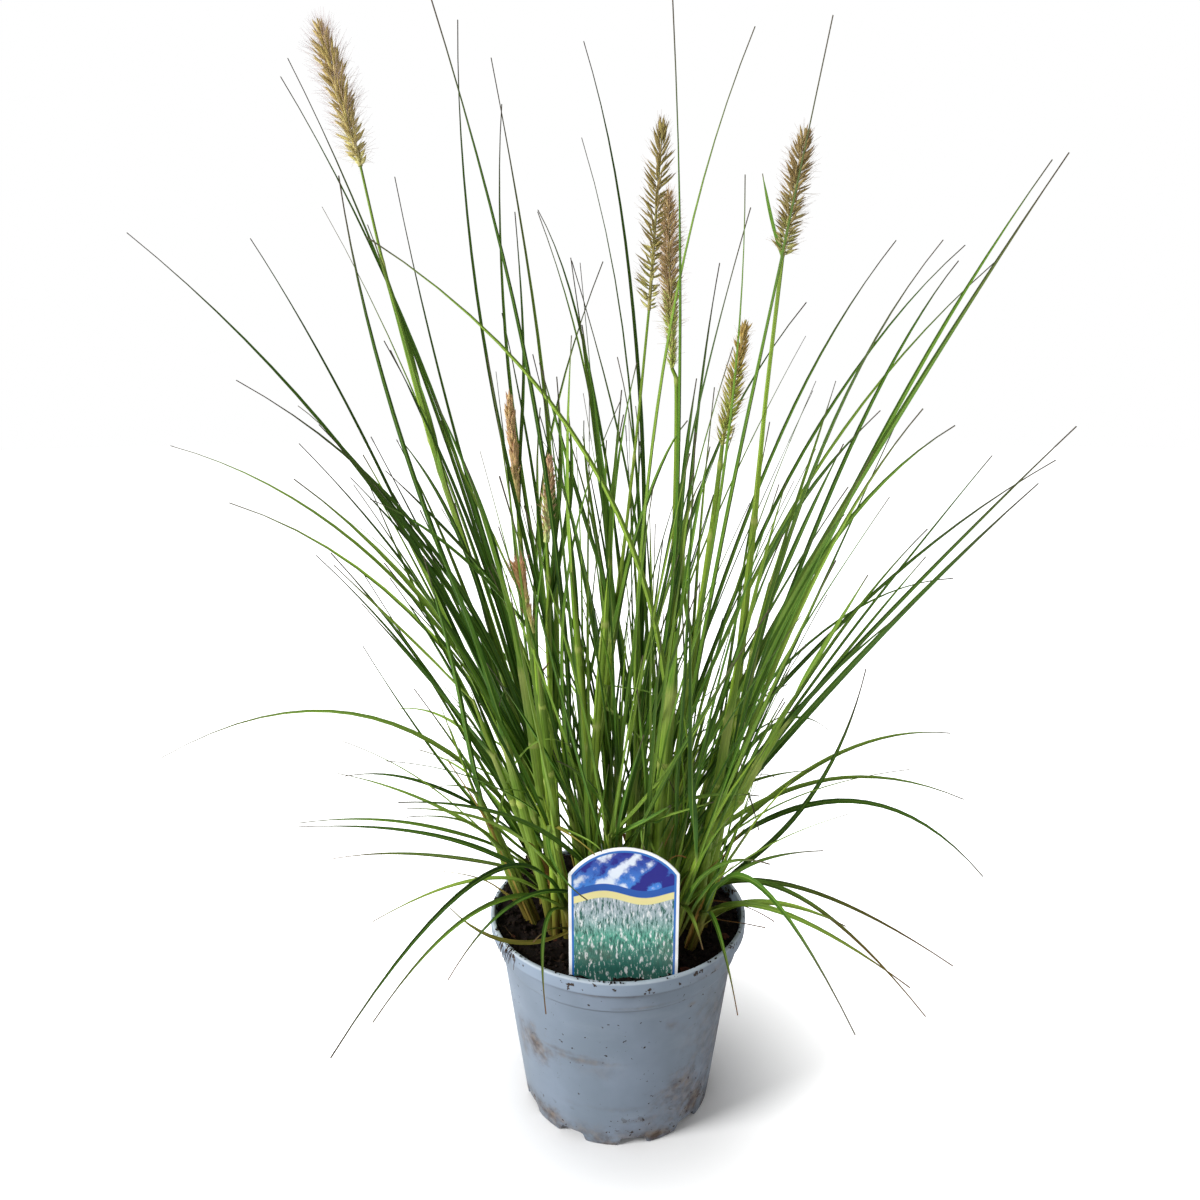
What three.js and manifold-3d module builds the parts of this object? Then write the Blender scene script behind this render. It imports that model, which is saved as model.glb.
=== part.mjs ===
// Potted fountain grass: a nursery pot of soil, a plant label, and a clump of leafy and flowering tillers.
// Millimetres, Z up. The origin is on the ground under the middle of the pot, +Y is the back.
import * as THREE from 'three';
import Module from 'manifold-3d';

const wasm = await Module();
wasm.setup();

const deg = Math.PI / 180;

// Pot
const potSides = 36;
const rimRadius = 85;
const potHeight = 133;
const lipHeight = 9;
const lipOverhang = 2.2;
const stepHeight = 110;
const stepWidth = 1.6;
const stepSlope = 2;
const footRadius = 62.5;
const baseWall = 1;
const wall = 1.6;
const rimWall = 0.6;
const rimEdge = 1.5;
const rimBevel = 1;
const rimDraft = 0.4;
const skirt = 3;
const floorUnder = 7;
const floorThickness = 2;
const footCount = 10;
const firstNotch = 26 * deg;
const notchWidth = 20;
const notchTaper = 3;
const notchHeight = 6;
const drainCount = 5;
const drainSides = 6;
const drainRadius = 5;
const drainCircle = 40;

// Soil
const fit = 0.35;
const soilEdge = 121;
const soilRings = [1, 0.68, 0.34];
const crownRise = 11;
const crownSpread = 52;
const bankRise = 8;
const bankAt = [-55, 45];
const bankSize = [28, 30];
const lumpHeight = 1.44;
const plantingDepth = 16;
const holeRise = 12;

// Label
const labelWidth = 65;
const labelShoulder = 196;
const labelTop = 213;
const labelNeck = 116;
const labelPoint = 86;
const labelPointWidth = 18;
const labelThickness = 0.9;
const labelAt = [2, -71];
const labelRoom = 9;
const labelArchSteps = 8;

// Clump
const crownRadius = 58;
const spiralCount = 40;
const goldenAngle = Math.PI * (3 - Math.sqrt(5));
const crownLean = 0.36;
const middleHeight = 150;
const edgeHeight = 85;
const stemRoom = 1.2;
const leafRoom = 0.5;
const rimRoom = 7;
const lowestLeaf = 40;
const funnelFoot = 72;
const funnelSlope = 0.3;
const lowReach = 195;
const leavesPerTiller = 7;
const clumpSeed = 146;
const archingFrom = 30;
const archingShares = [0, 0.18, 0.38, 0.58, 0.78, 1];
const straightShares = [0, 0.24, 0.5, 0.76, 1];
const keelDepth = 0.7;
const leadingTwist = 25;
const stemChoices = 5;
const placingTries = 30;
const swings = [0, 2, -2, 4, -4, 6, -6, 9, -9];

// Flowering stems
const sheathWidth = 5;
const slimSheathWidth = 4.2;
const sheathTaper = 0.35;
const culmWidth = 2.8;
const culmTopWidth = 2.4;
const spikeGap = 0.3;
const bristleRadius = 0.6;

// Flowering stems: the foot, the points that the stem passes, and the tip of its spike
const floweringStems = [
  {
    name: 'a',
    foot: [-26, 8],
    path: [[-20, 10, 195], [-4, 14, 314], [9, 15, 430], [17, 15, 516]],
    knee: 2,
    tip: [24, 15, 624],
    spike: { rings: 26, sides: 10, core: 3.2, reach: 10, bristles: 8, bristle: 14 },
  },
  {
    name: 'b',
    foot: [24, 20],
    path: [[27, 23, 170], [34, 30, 268], [37, 42, 370], [37, 50, 476], [34, 50, 484]],
    knee: 3,
    tip: [30, 60, 596],
    spike: { rings: 28, sides: 10, core: 3.4, reach: 11, bristles: 8, bristle: 16 },
  },
  {
    name: 'c',
    foot: [48, 12],
    path: [[57, 12, 170], [73, 14, 245], [85, 18, 390], [89, 20, 457], [96, 20, 547]],
    knee: 3,
    tip: [106, 20, 619],
    spike: { rings: 18, sides: 10, core: 3.2, reach: 10, bristles: 8, bristle: 14 },
  },
  {
    name: 'd',
    foot: [27, -8],
    path: [[34, -8, 213], [44, -10, 295], [54, -14, 385], [58, -15, 428], [59, -15, 439]],
    knee: 3,
    tip: [70, -20, 511],
    spike: { rings: 18, sides: 8, core: 2.4, reach: 7.5, bristles: 6, bristle: 10 },
  },
  {
    name: 'e',
    foot: [-40, 26],
    path: [[-47, 24, 205], [-54, 22, 275], [-58, 21, 326], [-63, 24, 377], [-64, 25, 401]],
    knee: 3,
    tip: [-69, 30, 470],
    spike: { rings: 14, sides: 6, core: 1.6, reach: 3, bristles: 3, bristle: 5 },
  },
  {
    name: 'f',
    foot: [-36, -8],
    path: [[-41, 0, 210], [-43, 2, 264], [-45, 4, 317], [-44, 5, 355], [-45, 5, 379]],
    knee: 3,
    tip: [-42, 0, 435],
    spike: { rings: 12, sides: 6, core: 2, reach: 4.4, bristles: 3, bristle: 7 },
  },
  {
    name: 'g',
    foot: [-40, -24],
    path: [[-44, -20, 191], [-47, -22, 253], [-50, -24, 293], [-52, -25, 329]],
    knee: 2,
    tip: [-61, -29, 376],
    spike: { rings: 10, sides: 8, core: 2.2, reach: 6, bristles: 10, bristle: 12 },
  },
  {
    name: 'h',
    foot: [-50, 8],
    path: [
      [-55, 14, 175],
      [-62, 18, 229],
      [-78, 24, 297],
      [-96, 30, 363],
      [-120, 38, 439],
      [-147, 50, 547],
      [-159, 55, 604],
    ],
    knee: 5,
    tip: [-182, 60, 690],
    spike: { rings: 22, sides: 12, core: 3.6, reach: 13, bristles: 14, bristle: 19 },
  },
];

// Leading leaves, which give the clump its outline: root, bend and tip of each, its width and its turn
const leadingLeaves = [
  // Upper left
  { root: [-40, 30, 200], bend: [-115, 55, 490], tip: [-210, 90, 675], width: 4, turn: 40 },
  { root: [-50, 20, 200], bend: [-100, 35, 490], tip: [-195, 60, 650], width: 4, turn: -50 },
  { root: [-50, 0, 200], bend: [-130, 10, 430], tip: [-290, 20, 560], width: 6.5, turn: 55 },
  { root: [-50, 10, 200], bend: [-155, 20, 455], tip: [-225, 40, 560], width: 5, turn: 35 },
  { root: [-50, -10, 200], bend: [-75, -20, 395], tip: [-210, -40, 475], width: 5, turn: 50 },
  { root: [-50, 20, 190], bend: [-135, 35, 395], tip: [-292, 50, 435], width: 4.5, turn: -40 },
  { root: [-50, 30, 180], bend: [-140, 55, 410], tip: [-220, 90, 460], width: 3.5, turn: 30 },
  { root: [-40, -5, 160], bend: [-110, -10, 300], tip: [-180, -20, 375], width: 4, turn: 60 },
  { root: [-45, 15, 160], bend: [-90, 35, 215], tip: [-175, 60, 350], width: 4, turn: -30 },
  { root: [-50, 0, 200], bend: [-140, -10, 425], tip: [-150, -30, 580], width: 5, turn: 60 },
  { root: [-30, 35, 200], bend: [-100, 65, 355], tip: [-150, 110, 610], width: 4.5, turn: -60 },
  { root: [40, -20, 200], bend: [40, -35, 440], tip: [-130, -60, 545], width: 5, turn: 50 },
  { root: [-25, -15, 220], bend: [-25, -24, 430], tip: [-98, -35, 665], width: 6.5, turn: 70 },
  { root: [-30, 10, 220], bend: [-90, 20, 490], tip: [-85, 30, 675], width: 6, turn: -70 },
  { root: [-40, 30, 200], bend: [-25, 50, 395], tip: [-80, 80, 672], width: 5, turn: 80 },
  { root: [-30, 25, 200], bend: [-85, 40, 480], tip: [-72, 60, 640], width: 4.5, turn: 75 },
  { root: [-10, 40, 200], bend: [10, 70, 425], tip: [-55, 120, 590], width: 4, turn: 50 },
  { root: [-50, 0, 220], bend: [-110, 5, 375], tip: [-180, 10, 450], width: 5, turn: 50 },
  { root: [-50, -5, 200], bend: [-105, -10, 350], tip: [-185, -20, 440], width: 4, turn: -40 },
  { root: [-50, 5, 190], bend: [-120, 20, 310], tip: [-160, 30, 415], width: 4.5, turn: 60 },
  { root: [-50, -10, 180], bend: [-105, -20, 285], tip: [-135, -25, 335], width: 4, turn: 50 },
  { root: [-50, 10, 200], bend: [-90, 20, 340], tip: [-140, 30, 440], width: 5, turn: -60 },
  { root: [-50, 15, 180], bend: [-75, 20, 300], tip: [-105, 30, 400], width: 5, turn: 70 },
  // Middle
  { root: [15, 45, 210], bend: [30, 60, 520], tip: [-22, 65, 676], width: 4.5, turn: 60 },
  { root: [15, -10, 230], bend: [45, -25, 350], tip: [19, -55, 655], width: 6, turn: 80 },
  { root: [0, 0, 220], bend: [5, -10, 500], tip: [68, -25, 652], width: 5, turn: 60 },
  { root: [-40, 30, 200], bend: [-80, 60, 385], tip: [-10, 100, 555], width: 4, turn: 60 },
  { root: [5, 20, 200], bend: [40, 35, 330], tip: [-30, 60, 550], width: 4, turn: 50 },
  { root: [35, 30, 190], bend: [45, 45, 440], tip: [65, 70, 550], width: 4, turn: 70 },
  { root: [45, -20, 220], bend: [55, -35, 430], tip: [93, -72, 640], width: 6, turn: 80 },
  { root: [44, -18, 210], bend: [53, -34, 420], tip: [75, -55, 575], width: 5, turn: 60 },
  { root: [10, 25, 190], bend: [15, 35, 400], tip: [120, 60, 525], width: 4, turn: 60 },
  { root: [-20, -10, 180], bend: [-60, -15, 340], tip: [0, -30, 465], width: 4, turn: -60 },
  // Upper right
  { root: [50, 10, 200], bend: [145, 15, 445], tip: [250, 22, 600], width: 5.5, turn: -50 },
  { root: [45, -10, 200], bend: [140, -20, 435], tip: [232, -35, 590], width: 6, turn: 50 },
  { root: [30, 30, 190], bend: [100, 60, 425], tip: [255, 100, 555], width: 4, turn: -40 },
  { root: [30, 40, 190], bend: [105, 75, 455], tip: [245, 130, 570], width: 4, turn: 40 },
  { root: [50, 20, 190], bend: [145, 35, 470], tip: [215, 60, 550], width: 4.5, turn: -60 },
  { root: [50, 35, 190], bend: [85, 65, 445], tip: [190, 110, 570], width: 4, turn: 50 },
  { root: [50, -10, 200], bend: [95, -25, 450], tip: [165, -50, 545], width: 4.5, turn: -60 },
  { root: [50, -10, 180], bend: [105, -20, 375], tip: [165, -40, 460], width: 4.5, turn: 60 },
  { root: [50, 0, 180], bend: [100, -5, 390], tip: [195, -10, 450], width: 6, turn: -45 },
  { root: [45, 20, 170], bend: [100, 45, 250], tip: [190, 80, 450], width: 4, turn: 50 },
  { root: [40, 0, 160], bend: [165, -10, 345], tip: [258, -25, 450], width: 7, turn: -45 },
  { root: [40, 20, 160], bend: [135, 35, 340], tip: [292, 62, 425], width: 5.5, turn: 45 },
  { root: [35, 30, 160], bend: [185, 60, 345], tip: [270, 110, 425], width: 4.5, turn: 40 },
  { root: [45, 5, 160], bend: [130, 10, 320], tip: [195, 20, 385], width: 4, turn: -50 },
  { root: [45, 15, 160], bend: [115, 35, 345], tip: [230, 60, 345], width: 4.5, turn: 30 },
  // Low leaves round the rim, left
  { root: [-50, -5, 150], bend: [-130, -5, 335], tip: [-292, -10, 242], width: 5, turn: 20 },
  { root: [-45, 10, 150], bend: [-120, 20, 205], tip: [-195, 40, 210], width: 4.5, turn: -15 },
  { root: [-45, -10, 150], bend: [-85, -20, 205], tip: [-200, -30, 205], width: 5.5, turn: 15 },
  { root: [-45, 0, 150], bend: [-120, 10, 175], tip: [-200, 30, 150], width: 4.5, turn: -10 },
  { root: [-45, -20, 150], bend: [-75, -30, 190], tip: [-155, -40, 145], width: 5, turn: 10 },
  { root: [-40, -35, 150], bend: [-60, -110, 275], tip: [-126, -218, 194], width: 5.5, turn: 10 },
  { root: [-35, -35, 150], bend: [-75, -80, 215], tip: [-127, -150, 158], width: 5, turn: -10 },
  { root: [-20, -45, 150], bend: [-55, -70, 215], tip: [-100, -95, 145], width: 4.5, turn: 10 },
  { root: [-50, 15, 155], bend: [-110, 35, 190], tip: [-175, 50, 300], width: 4, turn: 40 },
  { root: [-40, 35, 155], bend: [-110, 90, 260], tip: [-190, 150, 215], width: 5, turn: 0 },
  { root: [-50, 0, 165], bend: [-120, -5, 240], tip: [-175, -10, 230], width: 4.5, turn: 20 },
  { root: [-50, 0, 155], bend: [-120, -10, 210], tip: [-205, -15, 200], width: 4.5, turn: -10 },
  // Low leaves round the rim, right
  { root: [45, -10, 150], bend: [135, -15, 200], tip: [150, -20, 305], width: 5, turn: 40 },
  { root: [50, 15, 150], bend: [135, 25, 255], tip: [230, 40, 240], width: 5, turn: 10 },
  { root: [45, 10, 150], bend: [115, 15, 255], tip: [235, 20, 200], width: 5, turn: -10 },
  { root: [45, -10, 150], bend: [145, -15, 270], tip: [235, -20, 165], width: 5.5, turn: 15 },
  { root: [35, -35, 150], bend: [60, -45, 195], tip: [120, -60, 205], width: 4.5, turn: 0 },
  { root: [45, -15, 150], bend: [95, -20, 190], tip: [215, -35, 110], width: 5, turn: 0 },
  { root: [35, -35, 150], bend: [85, -50, 180], tip: [135, -65, 158], width: 6, turn: 10 },
  { root: [35, -25, 150], bend: [95, -40, 210], tip: [190, -60, 92], width: 5, turn: -10 },
  { root: [45, -35, 150], bend: [60, -110, 265], tip: [98, -210, 199], width: 5.5, turn: 10 },
  { root: [35, -35, 150], bend: [75, -60, 195], tip: [165, -95, 138], width: 5.5, turn: 5 },
  { root: [44, -40, 150], bend: [54, -80, 195], tip: [62, -125, 143], width: 4.5, turn: 0 },
  { root: [-42, -38, 150], bend: [-50, -85, 195], tip: [-41, -124, 143], width: 4.5, turn: 0 },
  { root: [45, 30, 155], bend: [110, 80, 270], tip: [175, 150, 200], width: 5, turn: 0 },
  // Back
  { root: [0, 50, 170], bend: [-25, 130, 400], tip: [-60, 216, 430], width: 5.5, turn: 0 },
  { root: [15, 50, 160], bend: [30, 120, 300], tip: [70, 217, 235], width: 5, turn: 0 },
  { root: [-20, 45, 160], bend: [-60, 110, 260], tip: [-100, 190, 175], width: 5, turn: 0 },
];

// Draws spread evenly between two values, the same on each run
function makeDraw(seed) {
  let state = seed;
  return (low, high) => {
    state = (state * 1664525 + 1013904223) % 4294967296;
    return low + (high - low) * (state / 4294967296);
  };
}

const draw = makeDraw(clumpSeed);

function vec(x, y, z) {
  return new THREE.Vector3(x, y, z);
}

function mixed(a, b, t) {
  return a.clone().lerp(b, t);
}

// A closed solid through rings of points, where a ring of one point is a pointed end
function loft(rings) {
  const points = [];
  const faces = [];
  let below = null;
  for (const ring of rings) {
    const start = points.length;
    points.push(...ring);
    if (below !== null) {
      joinRings(faces, below, { start, count: ring.length });
    }
    below = { start, count: ring.length };
  }
  for (let k = 1; k + 1 < rings[0].length; k += 1) {
    faces.push([0, k + 1, k]);
  }
  for (let k = 1; k + 1 < below.count; k += 1) {
    faces.push([below.start, below.start + k, below.start + k + 1]);
  }
  return solidFrom(points, faces);
}

function joinRings(faces, low, high) {
  const count = Math.max(low.count, high.count);
  for (let k = 0; k < count; k += 1) {
    const next = (k + 1) % count;
    if (low.count === 1) {
      faces.push([low.start, high.start + next, high.start + k]);
    } else if (high.count === 1) {
      faces.push([low.start + k, low.start + next, high.start]);
    } else {
      faces.push([low.start + k, low.start + next, high.start + next]);
      faces.push([low.start + k, high.start + next, high.start + k]);
    }
  }
}

// Turns points and faces into a solid with its faces pointing out
function solidFrom(points, faces) {
  let volume = 0;
  for (const [a, b, c] of faces) {
    volume += points[a].dot(points[b].clone().cross(points[c]));
  }
  const outward = volume > 0 ? faces : faces.map(([a, b, c]) => [a, c, b]);
  const vertProperties = new Float32Array(points.flatMap((p) => [p.x, p.y, p.z]));
  const triVerts = new Uint32Array(outward.flat());
  return new wasm.Manifold(new wasm.Mesh({ numProp: 3, vertProperties, triVerts }));
}

// A named mesh of one solid in one colour
function meshOf(name, solid, color, roughness) {
  const { vertProperties, triVerts } = solid.getMesh();
  const geometry = new THREE.BufferGeometry();
  geometry.setAttribute('position', new THREE.BufferAttribute(vertProperties, 3));
  geometry.setIndex(new THREE.BufferAttribute(triVerts, 1));
  const mesh = new THREE.Mesh(geometry, new THREE.MeshStandardMaterial({ color, roughness, metalness: 0 }));
  mesh.name = name;
  return mesh;
}

function circle(radius, z, sides) {
  const ring = [];
  for (let k = 0; k < sides; k += 1) {
    const angle = (k / sides) * 2 * Math.PI;
    ring.push(vec(radius * Math.cos(angle), radius * Math.sin(angle), z));
  }
  return ring;
}

// A turned solid, whose profile starts and ends on the axis
function turned(profile, sides) {
  return loft(profile.map(([radius, z]) => (radius === 0 ? [vec(0, 0, z)] : circle(radius, z, sides))));
}

// Wall radii of the pot, straight between its base, its step and its rim
const stepOuter = rimRadius - lipOverhang - stepWidth;
const innerBase = footRadius - baseWall;
const innerStep = stepOuter - stepWidth - wall;
const innerRim = rimRadius - lipOverhang - rimWall;

function innerRadius(z) {
  const floorTop = floorUnder + floorThickness;
  const stepFoot = stepHeight - stepSlope;
  if (z < stepFoot) {
    return THREE.MathUtils.mapLinear(z, floorTop, stepFoot, innerBase, innerStep);
  }
  if (z < stepHeight) {
    return THREE.MathUtils.mapLinear(z, stepFoot, stepHeight, innerStep, innerStep + stepWidth);
  }
  return THREE.MathUtils.mapLinear(z, stepHeight, potHeight, innerStep + stepWidth, innerRim);
}

function buildPot() {
  const floorTop = floorUnder + floorThickness;
  const lipUnder = potHeight - lipHeight;
  let pot = turned([
    [0, floorUnder],
    [footRadius - skirt, floorUnder],
    [footRadius - skirt, 0],
    [footRadius, 0],
    [stepOuter - stepWidth, stepHeight - 1],
    [stepOuter, stepHeight],
    [rimRadius - lipOverhang, lipUnder],
    [rimRadius - rimDraft, lipUnder],
    [rimRadius, potHeight - rimEdge],
    [rimRadius - rimBevel, potHeight],
    [innerRim, potHeight],
    [innerRadius(stepHeight), stepHeight],
    [innerRadius(stepHeight - stepSlope), stepHeight - stepSlope],
    [innerBase, floorTop],
    [0, floorTop],
  ], potSides);
  for (let k = 0; k < footCount; k += 1) {
    pot = pot.subtract(notch(firstNotch + (k / footCount) * 2 * Math.PI));
  }
  const drain = loft([floorUnder - 1, floorTop + 1].map((z) => circle(drainRadius, z, drainSides)));
  for (let k = 0; k < drainCount; k += 1) {
    const angle = firstNotch + (k / drainCount) * 2 * Math.PI;
    pot = pot.subtract(drain.translate(drainCircle * Math.cos(angle), drainCircle * Math.sin(angle), 0));
  }
  return pot;
}

// The gap between two feet, wider at the ground
function notch(angle) {
  const inside = footRadius - skirt - 2;
  const outside = footRadius + 4;
  const rings = [inside, outside].map((reach) => [
    vec(reach, -notchWidth / 2, -1),
    vec(reach, notchWidth / 2, -1),
    vec(reach, notchWidth / 2 - notchTaper, notchHeight),
    vec(reach, -notchWidth / 2 + notchTaper, notchHeight),
  ]);
  for (const point of rings.flat()) {
    point.applyAxisAngle(vec(0, 0, 1), angle);
  }
  return loft(rings);
}

// Height of the soil: heaped in the middle, banked up at the left back, with lumps
function soilHeight(x, y) {
  const reach = Math.hypot(x, y);
  const heap = crownRise * Math.exp(-((reach / crownSpread) ** 2));
  const offBank = Math.hypot((x - bankAt[0]) / bankSize[0], (y - bankAt[1]) / bankSize[1]);
  const bank = bankRise * Math.exp(-(offBank ** 2));
  const lumps = Math.sin(x * 0.23 + 1) * Math.sin(y * 0.27 + 2) + 0.6 * Math.sin(x * 0.11 - y * 0.17);
  return soilEdge + heap + bank + lumpHeight * lumps;
}

function buildSoil(stems) {
  const rings = [];
  const floorTop = floorUnder + floorThickness;
  const bottom = floorTop + fit;
  rings.push([vec(0, 0, bottom)]);
  for (const z of [bottom, stepHeight - stepSlope, stepHeight]) {
    rings.push(circle(innerRadius(z) - fit, z, potSides));
  }
  for (const share of soilRings) {
    rings.push(circle((innerRadius(soilEdge) - fit) * share, 0, potSides).map((p) => soilPoint(p, share)));
  }
  rings.push([vec(0, 0, soilHeight(0, 0))]);
  let soil = loft(rings);
  for (const stem of stems) {
    soil = soil.subtract(stemHole(stem));
  }
  return soil.subtract(labelSolid(fit));
}

// A point of the soil's top, kept on the pot's wall at the edge
function soilPoint(point, share) {
  const z = soilHeight(point.x, point.y);
  if (share < 1) {
    return vec(point.x, point.y, z);
  }
  const radius = innerRadius(z) - fit;
  const angle = Math.atan2(point.y, point.x);
  return vec(radius * Math.cos(angle), radius * Math.sin(angle), z);
}

// The card of the label, grown by the given room for the slot that it stands in
function labelSolid(room) {
  const half = labelWidth / 2 + room;
  const tip = labelPointWidth / 2 + room;
  const foot = labelPoint - room;
  const outline = [[-tip, foot], [tip, foot], [half, labelNeck], [half, labelShoulder]];
  const archRise = labelTop - labelShoulder;
  const archRadius = (half * half + archRise * archRise) / (2 * archRise);
  const archHalf = Math.asin(half / archRadius);
  for (let k = 1; k < labelArchSteps; k += 1) {
    const angle = archHalf * (1 - (2 * k) / labelArchSteps);
    outline.push([archRadius * Math.sin(angle), labelTop - archRadius * (1 - Math.cos(angle))]);
  }
  outline.push([-half, labelShoulder], [-half, labelNeck]);
  const depth = labelThickness / 2 + room;
  const [x, y] = labelAt;
  return loft([-depth, depth].map((side) => outline.map(([u, z]) => vec(x + u, y + side, z))));
}

// The clump: tillers on a spiral between the flowering stems, each leaning away from the middle
function growTillers(taken) {
  const tillers = [];
  for (let k = 0; k < spiralCount; k += 1) {
    const reach = crownRadius * Math.sqrt((k + 0.5) / spiralCount);
    const angle = k * goldenAngle + draw(-0.1, 0.1);
    const x = reach * Math.cos(angle);
    const y = reach * Math.sin(angle);
    const lean = (crownLean * reach) / crownRadius + draw(-0.03, 0.05);
    const height = draw(0.75, 1.15) * THREE.MathUtils.lerp(middleHeight, edgeHeight, reach / crownRadius);
    const width = draw(8, 11);
    const facing = angle + draw(-60, 60) * deg;
    const up = vec(lean * Math.cos(angle), lean * Math.sin(angle), 1).normalize();
    const foot = vec(x, y, soilHeight(x, y)).addScaledVector(up, -plantingDepth);
    const length = plantingDepth + height;
    const axis = [0, 0.45, 1].map((t) => foot.clone().addScaledVector(up, t * length));
    const widths = [width, width, width * 0.4];
    const name = `tiller_${tillers.length + 1}`;
    const tiller = { name, axis, widths, flat: 0.62, sides: 4, facing, leaves: [] };
    const stretches = stemStretches(tiller);
    if (!axis.some(atLabel) && isClear(stretches, taken, stemRoom)) {
      tillers.push(tiller);
      taken.push(...stretches);
    }
  }
  return tillers;
}

// A flowering stem: leaf sheaths below its knee, then the bare culm
function growFloweringStems() {
  return floweringStems.map((flower) => {
    const passed = flower.path.map(([x, y, z]) => vec(x, y, z));
    const [x, y] = flower.foot;
    const ground = vec(x, y, soilHeight(x, y));
    const up = passed[0].clone().sub(ground).normalize();
    const axis = [ground.clone().addScaledVector(up, -plantingDepth), ...passed];
    const sheath = flower.spike.reach > 7 ? sheathWidth : slimSheathWidth;
    const widths = axis.map((_, k) => (k <= flower.knee ? sheath - sheathTaper * k : culmWidth));
    widths[widths.length - 1] = culmTopWidth;
    const name = `flowering_stem_${flower.name}`;
    return { name, axis, widths, flat: 0.8, sides: 5, facing: 0, leaves: [], flower };
  });
}

// The section of a stem at one of its axis points, grown by some room
function section(stem, k, at, room) {
  const last = stem.axis.length - 1;
  const ahead = stem.axis[Math.min(k + 1, last)].clone().sub(stem.axis[Math.max(k - 1, 0)]).normalize();
  const side = vec(Math.cos(stem.facing), Math.sin(stem.facing), 0);
  side.addScaledVector(ahead, -side.dot(ahead)).normalize();
  const front = ahead.clone().cross(side);
  const ring = [];
  for (let n = 0; n < stem.sides; n += 1) {
    const angle = (n / stem.sides) * 2 * Math.PI;
    const wide = (stem.widths[k] / 2 + room) * Math.cos(angle);
    const deep = ((stem.widths[k] * stem.flat) / 2 + room) * Math.sin(angle);
    ring.push(at.clone().addScaledVector(side, wide).addScaledVector(front, deep));
  }
  return ring;
}

function stemHole(stem) {
  const up = stem.axis[1].clone().sub(stem.axis[0]).normalize();
  const low = stem.axis[0].clone().addScaledVector(up, -fit);
  const high = stem.axis[0].clone().addScaledVector(up, plantingDepth + holeRise);
  const straight = { ...stem, axis: [low, high] };
  return loft([section(straight, 0, low, fit), section(straight, 0, high, fit)]);
}

// The shortest distance between two straight stretches, less the half widths of what follows them
function clearance(a, b) {
  const u = a.to.clone().sub(a.from);
  const v = b.to.clone().sub(b.from);
  const w = a.from.clone().sub(b.from);
  const uu = u.dot(u);
  const vv = v.dot(v);
  const uv = u.dot(v);
  const uw = u.dot(w);
  const vw = v.dot(w);
  const spread = uu * vv - uv * uv;
  let s = spread > 1e-9 ? THREE.MathUtils.clamp((uv * vw - vv * uw) / spread, 0, 1) : 0;
  let t = (uv * s + vw) / vv;
  if (t < 0 || t > 1) {
    t = THREE.MathUtils.clamp(t, 0, 1);
    s = THREE.MathUtils.clamp((uv * t - uw) / uu, 0, 1);
  }
  w.addScaledVector(u, s).addScaledVector(v, -t);
  return w.length() - a.half - b.half;
}

// Shares of a leaf's length where its rings lie
function leafShares(leaf) {
  return bendAngle(leaf) > archingFrom ? archingShares : straightShares;
}

function leafPoint(leaf, t) {
  return mixed(mixed(leaf.root, leaf.bend, t), mixed(leaf.bend, leaf.tip, t), t);
}

// Width of a leaf: nearly even along its lower half, then drawn out to a fine tip
function leafWidth(leaf, t) {
  return leaf.width * Math.min(1, 0.7 + 2 * t) * Math.max(0, 1 - t ** 2.2) ** 0.9;
}

function leafStretches(leaf, owner) {
  const shares = leafShares(leaf);
  const stretches = [];
  for (let k = 0; k + 1 < shares.length; k += 1) {
    stretches.push({
      owner,
      free: k > 0,
      from: leafPoint(leaf, shares[k]),
      to: leafPoint(leaf, shares[k + 1]),
      half: leafWidth(leaf, shares[k]) / 2,
    });
  }
  return stretches;
}

// True at the label and in front of it
function atLabel(point) {
  const across = Math.abs(point.x - labelAt[0]);
  return point.y < labelAt[1] + labelRoom && across < labelWidth / 2 + 6 && point.z < labelTop + 8;
}

// True where a leaf stays off the soil, the rim and the label
function clearOfPot(leaf) {
  for (let k = 1; k <= 12; k += 1) {
    const point = leafPoint(leaf, k / 12);
    const reach = Math.hypot(point.x, point.y);
    const floor = reach < rimRadius + rimRoom ? potHeight + rimRoom : lowestLeaf;
    if (point.z < floor || atLabel(point)) {
      return false;
    }
  }
  return true;
}

function isClear(stretches, taken, room) {
  const passes = (a, b) => clearance(a, b) > (a.owner === b.owner ? 0 : room);
  const fused = (a, b) => a.owner === b.owner && !(a.free && b.free);
  return stretches.every((a) => taken.every((b) => fused(a, b) || passes(a, b)));
}

// Adds a leaf to a stem if it passes clear of everything that belongs to the others
function addLeaf(stem, leaf, taken) {
  const stretches = leafStretches(leaf, stem.name);
  if (!clearOfPot(leaf) || !isClear(stretches, taken, leafRoom)) {
    return false;
  }
  stem.leaves.push(leaf);
  taken.push(...stretches);
  return true;
}

// The points on the stems' axes that lie nearest to where a leaf should spring, the nearest first
function nearestAxisPoints(stems, target) {
  const found = stems.map((stem) => {
    let best = { gap: Infinity };
    for (let k = 0; k + 1 < stem.axis.length; k += 1) {
      const stretch = new THREE.Line3(stem.axis[k], stem.axis[k + 1]);
      const at = stretch.closestPointToPoint(target, true, vec(0, 0, 0));
      const gap = at.distanceTo(target);
      if (gap < best.gap) {
        best = { gap, stem, at };
      }
    }
    return best;
  });
  return found.sort((a, b) => a.gap - b.gap).slice(0, stemChoices);
}

// How far a leaf turns on its way, in degrees
function bendAngle(leaf) {
  const first = leaf.bend.clone().sub(leaf.root);
  return first.angleTo(leaf.tip.clone().sub(leaf.bend)) / deg;
}

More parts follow.
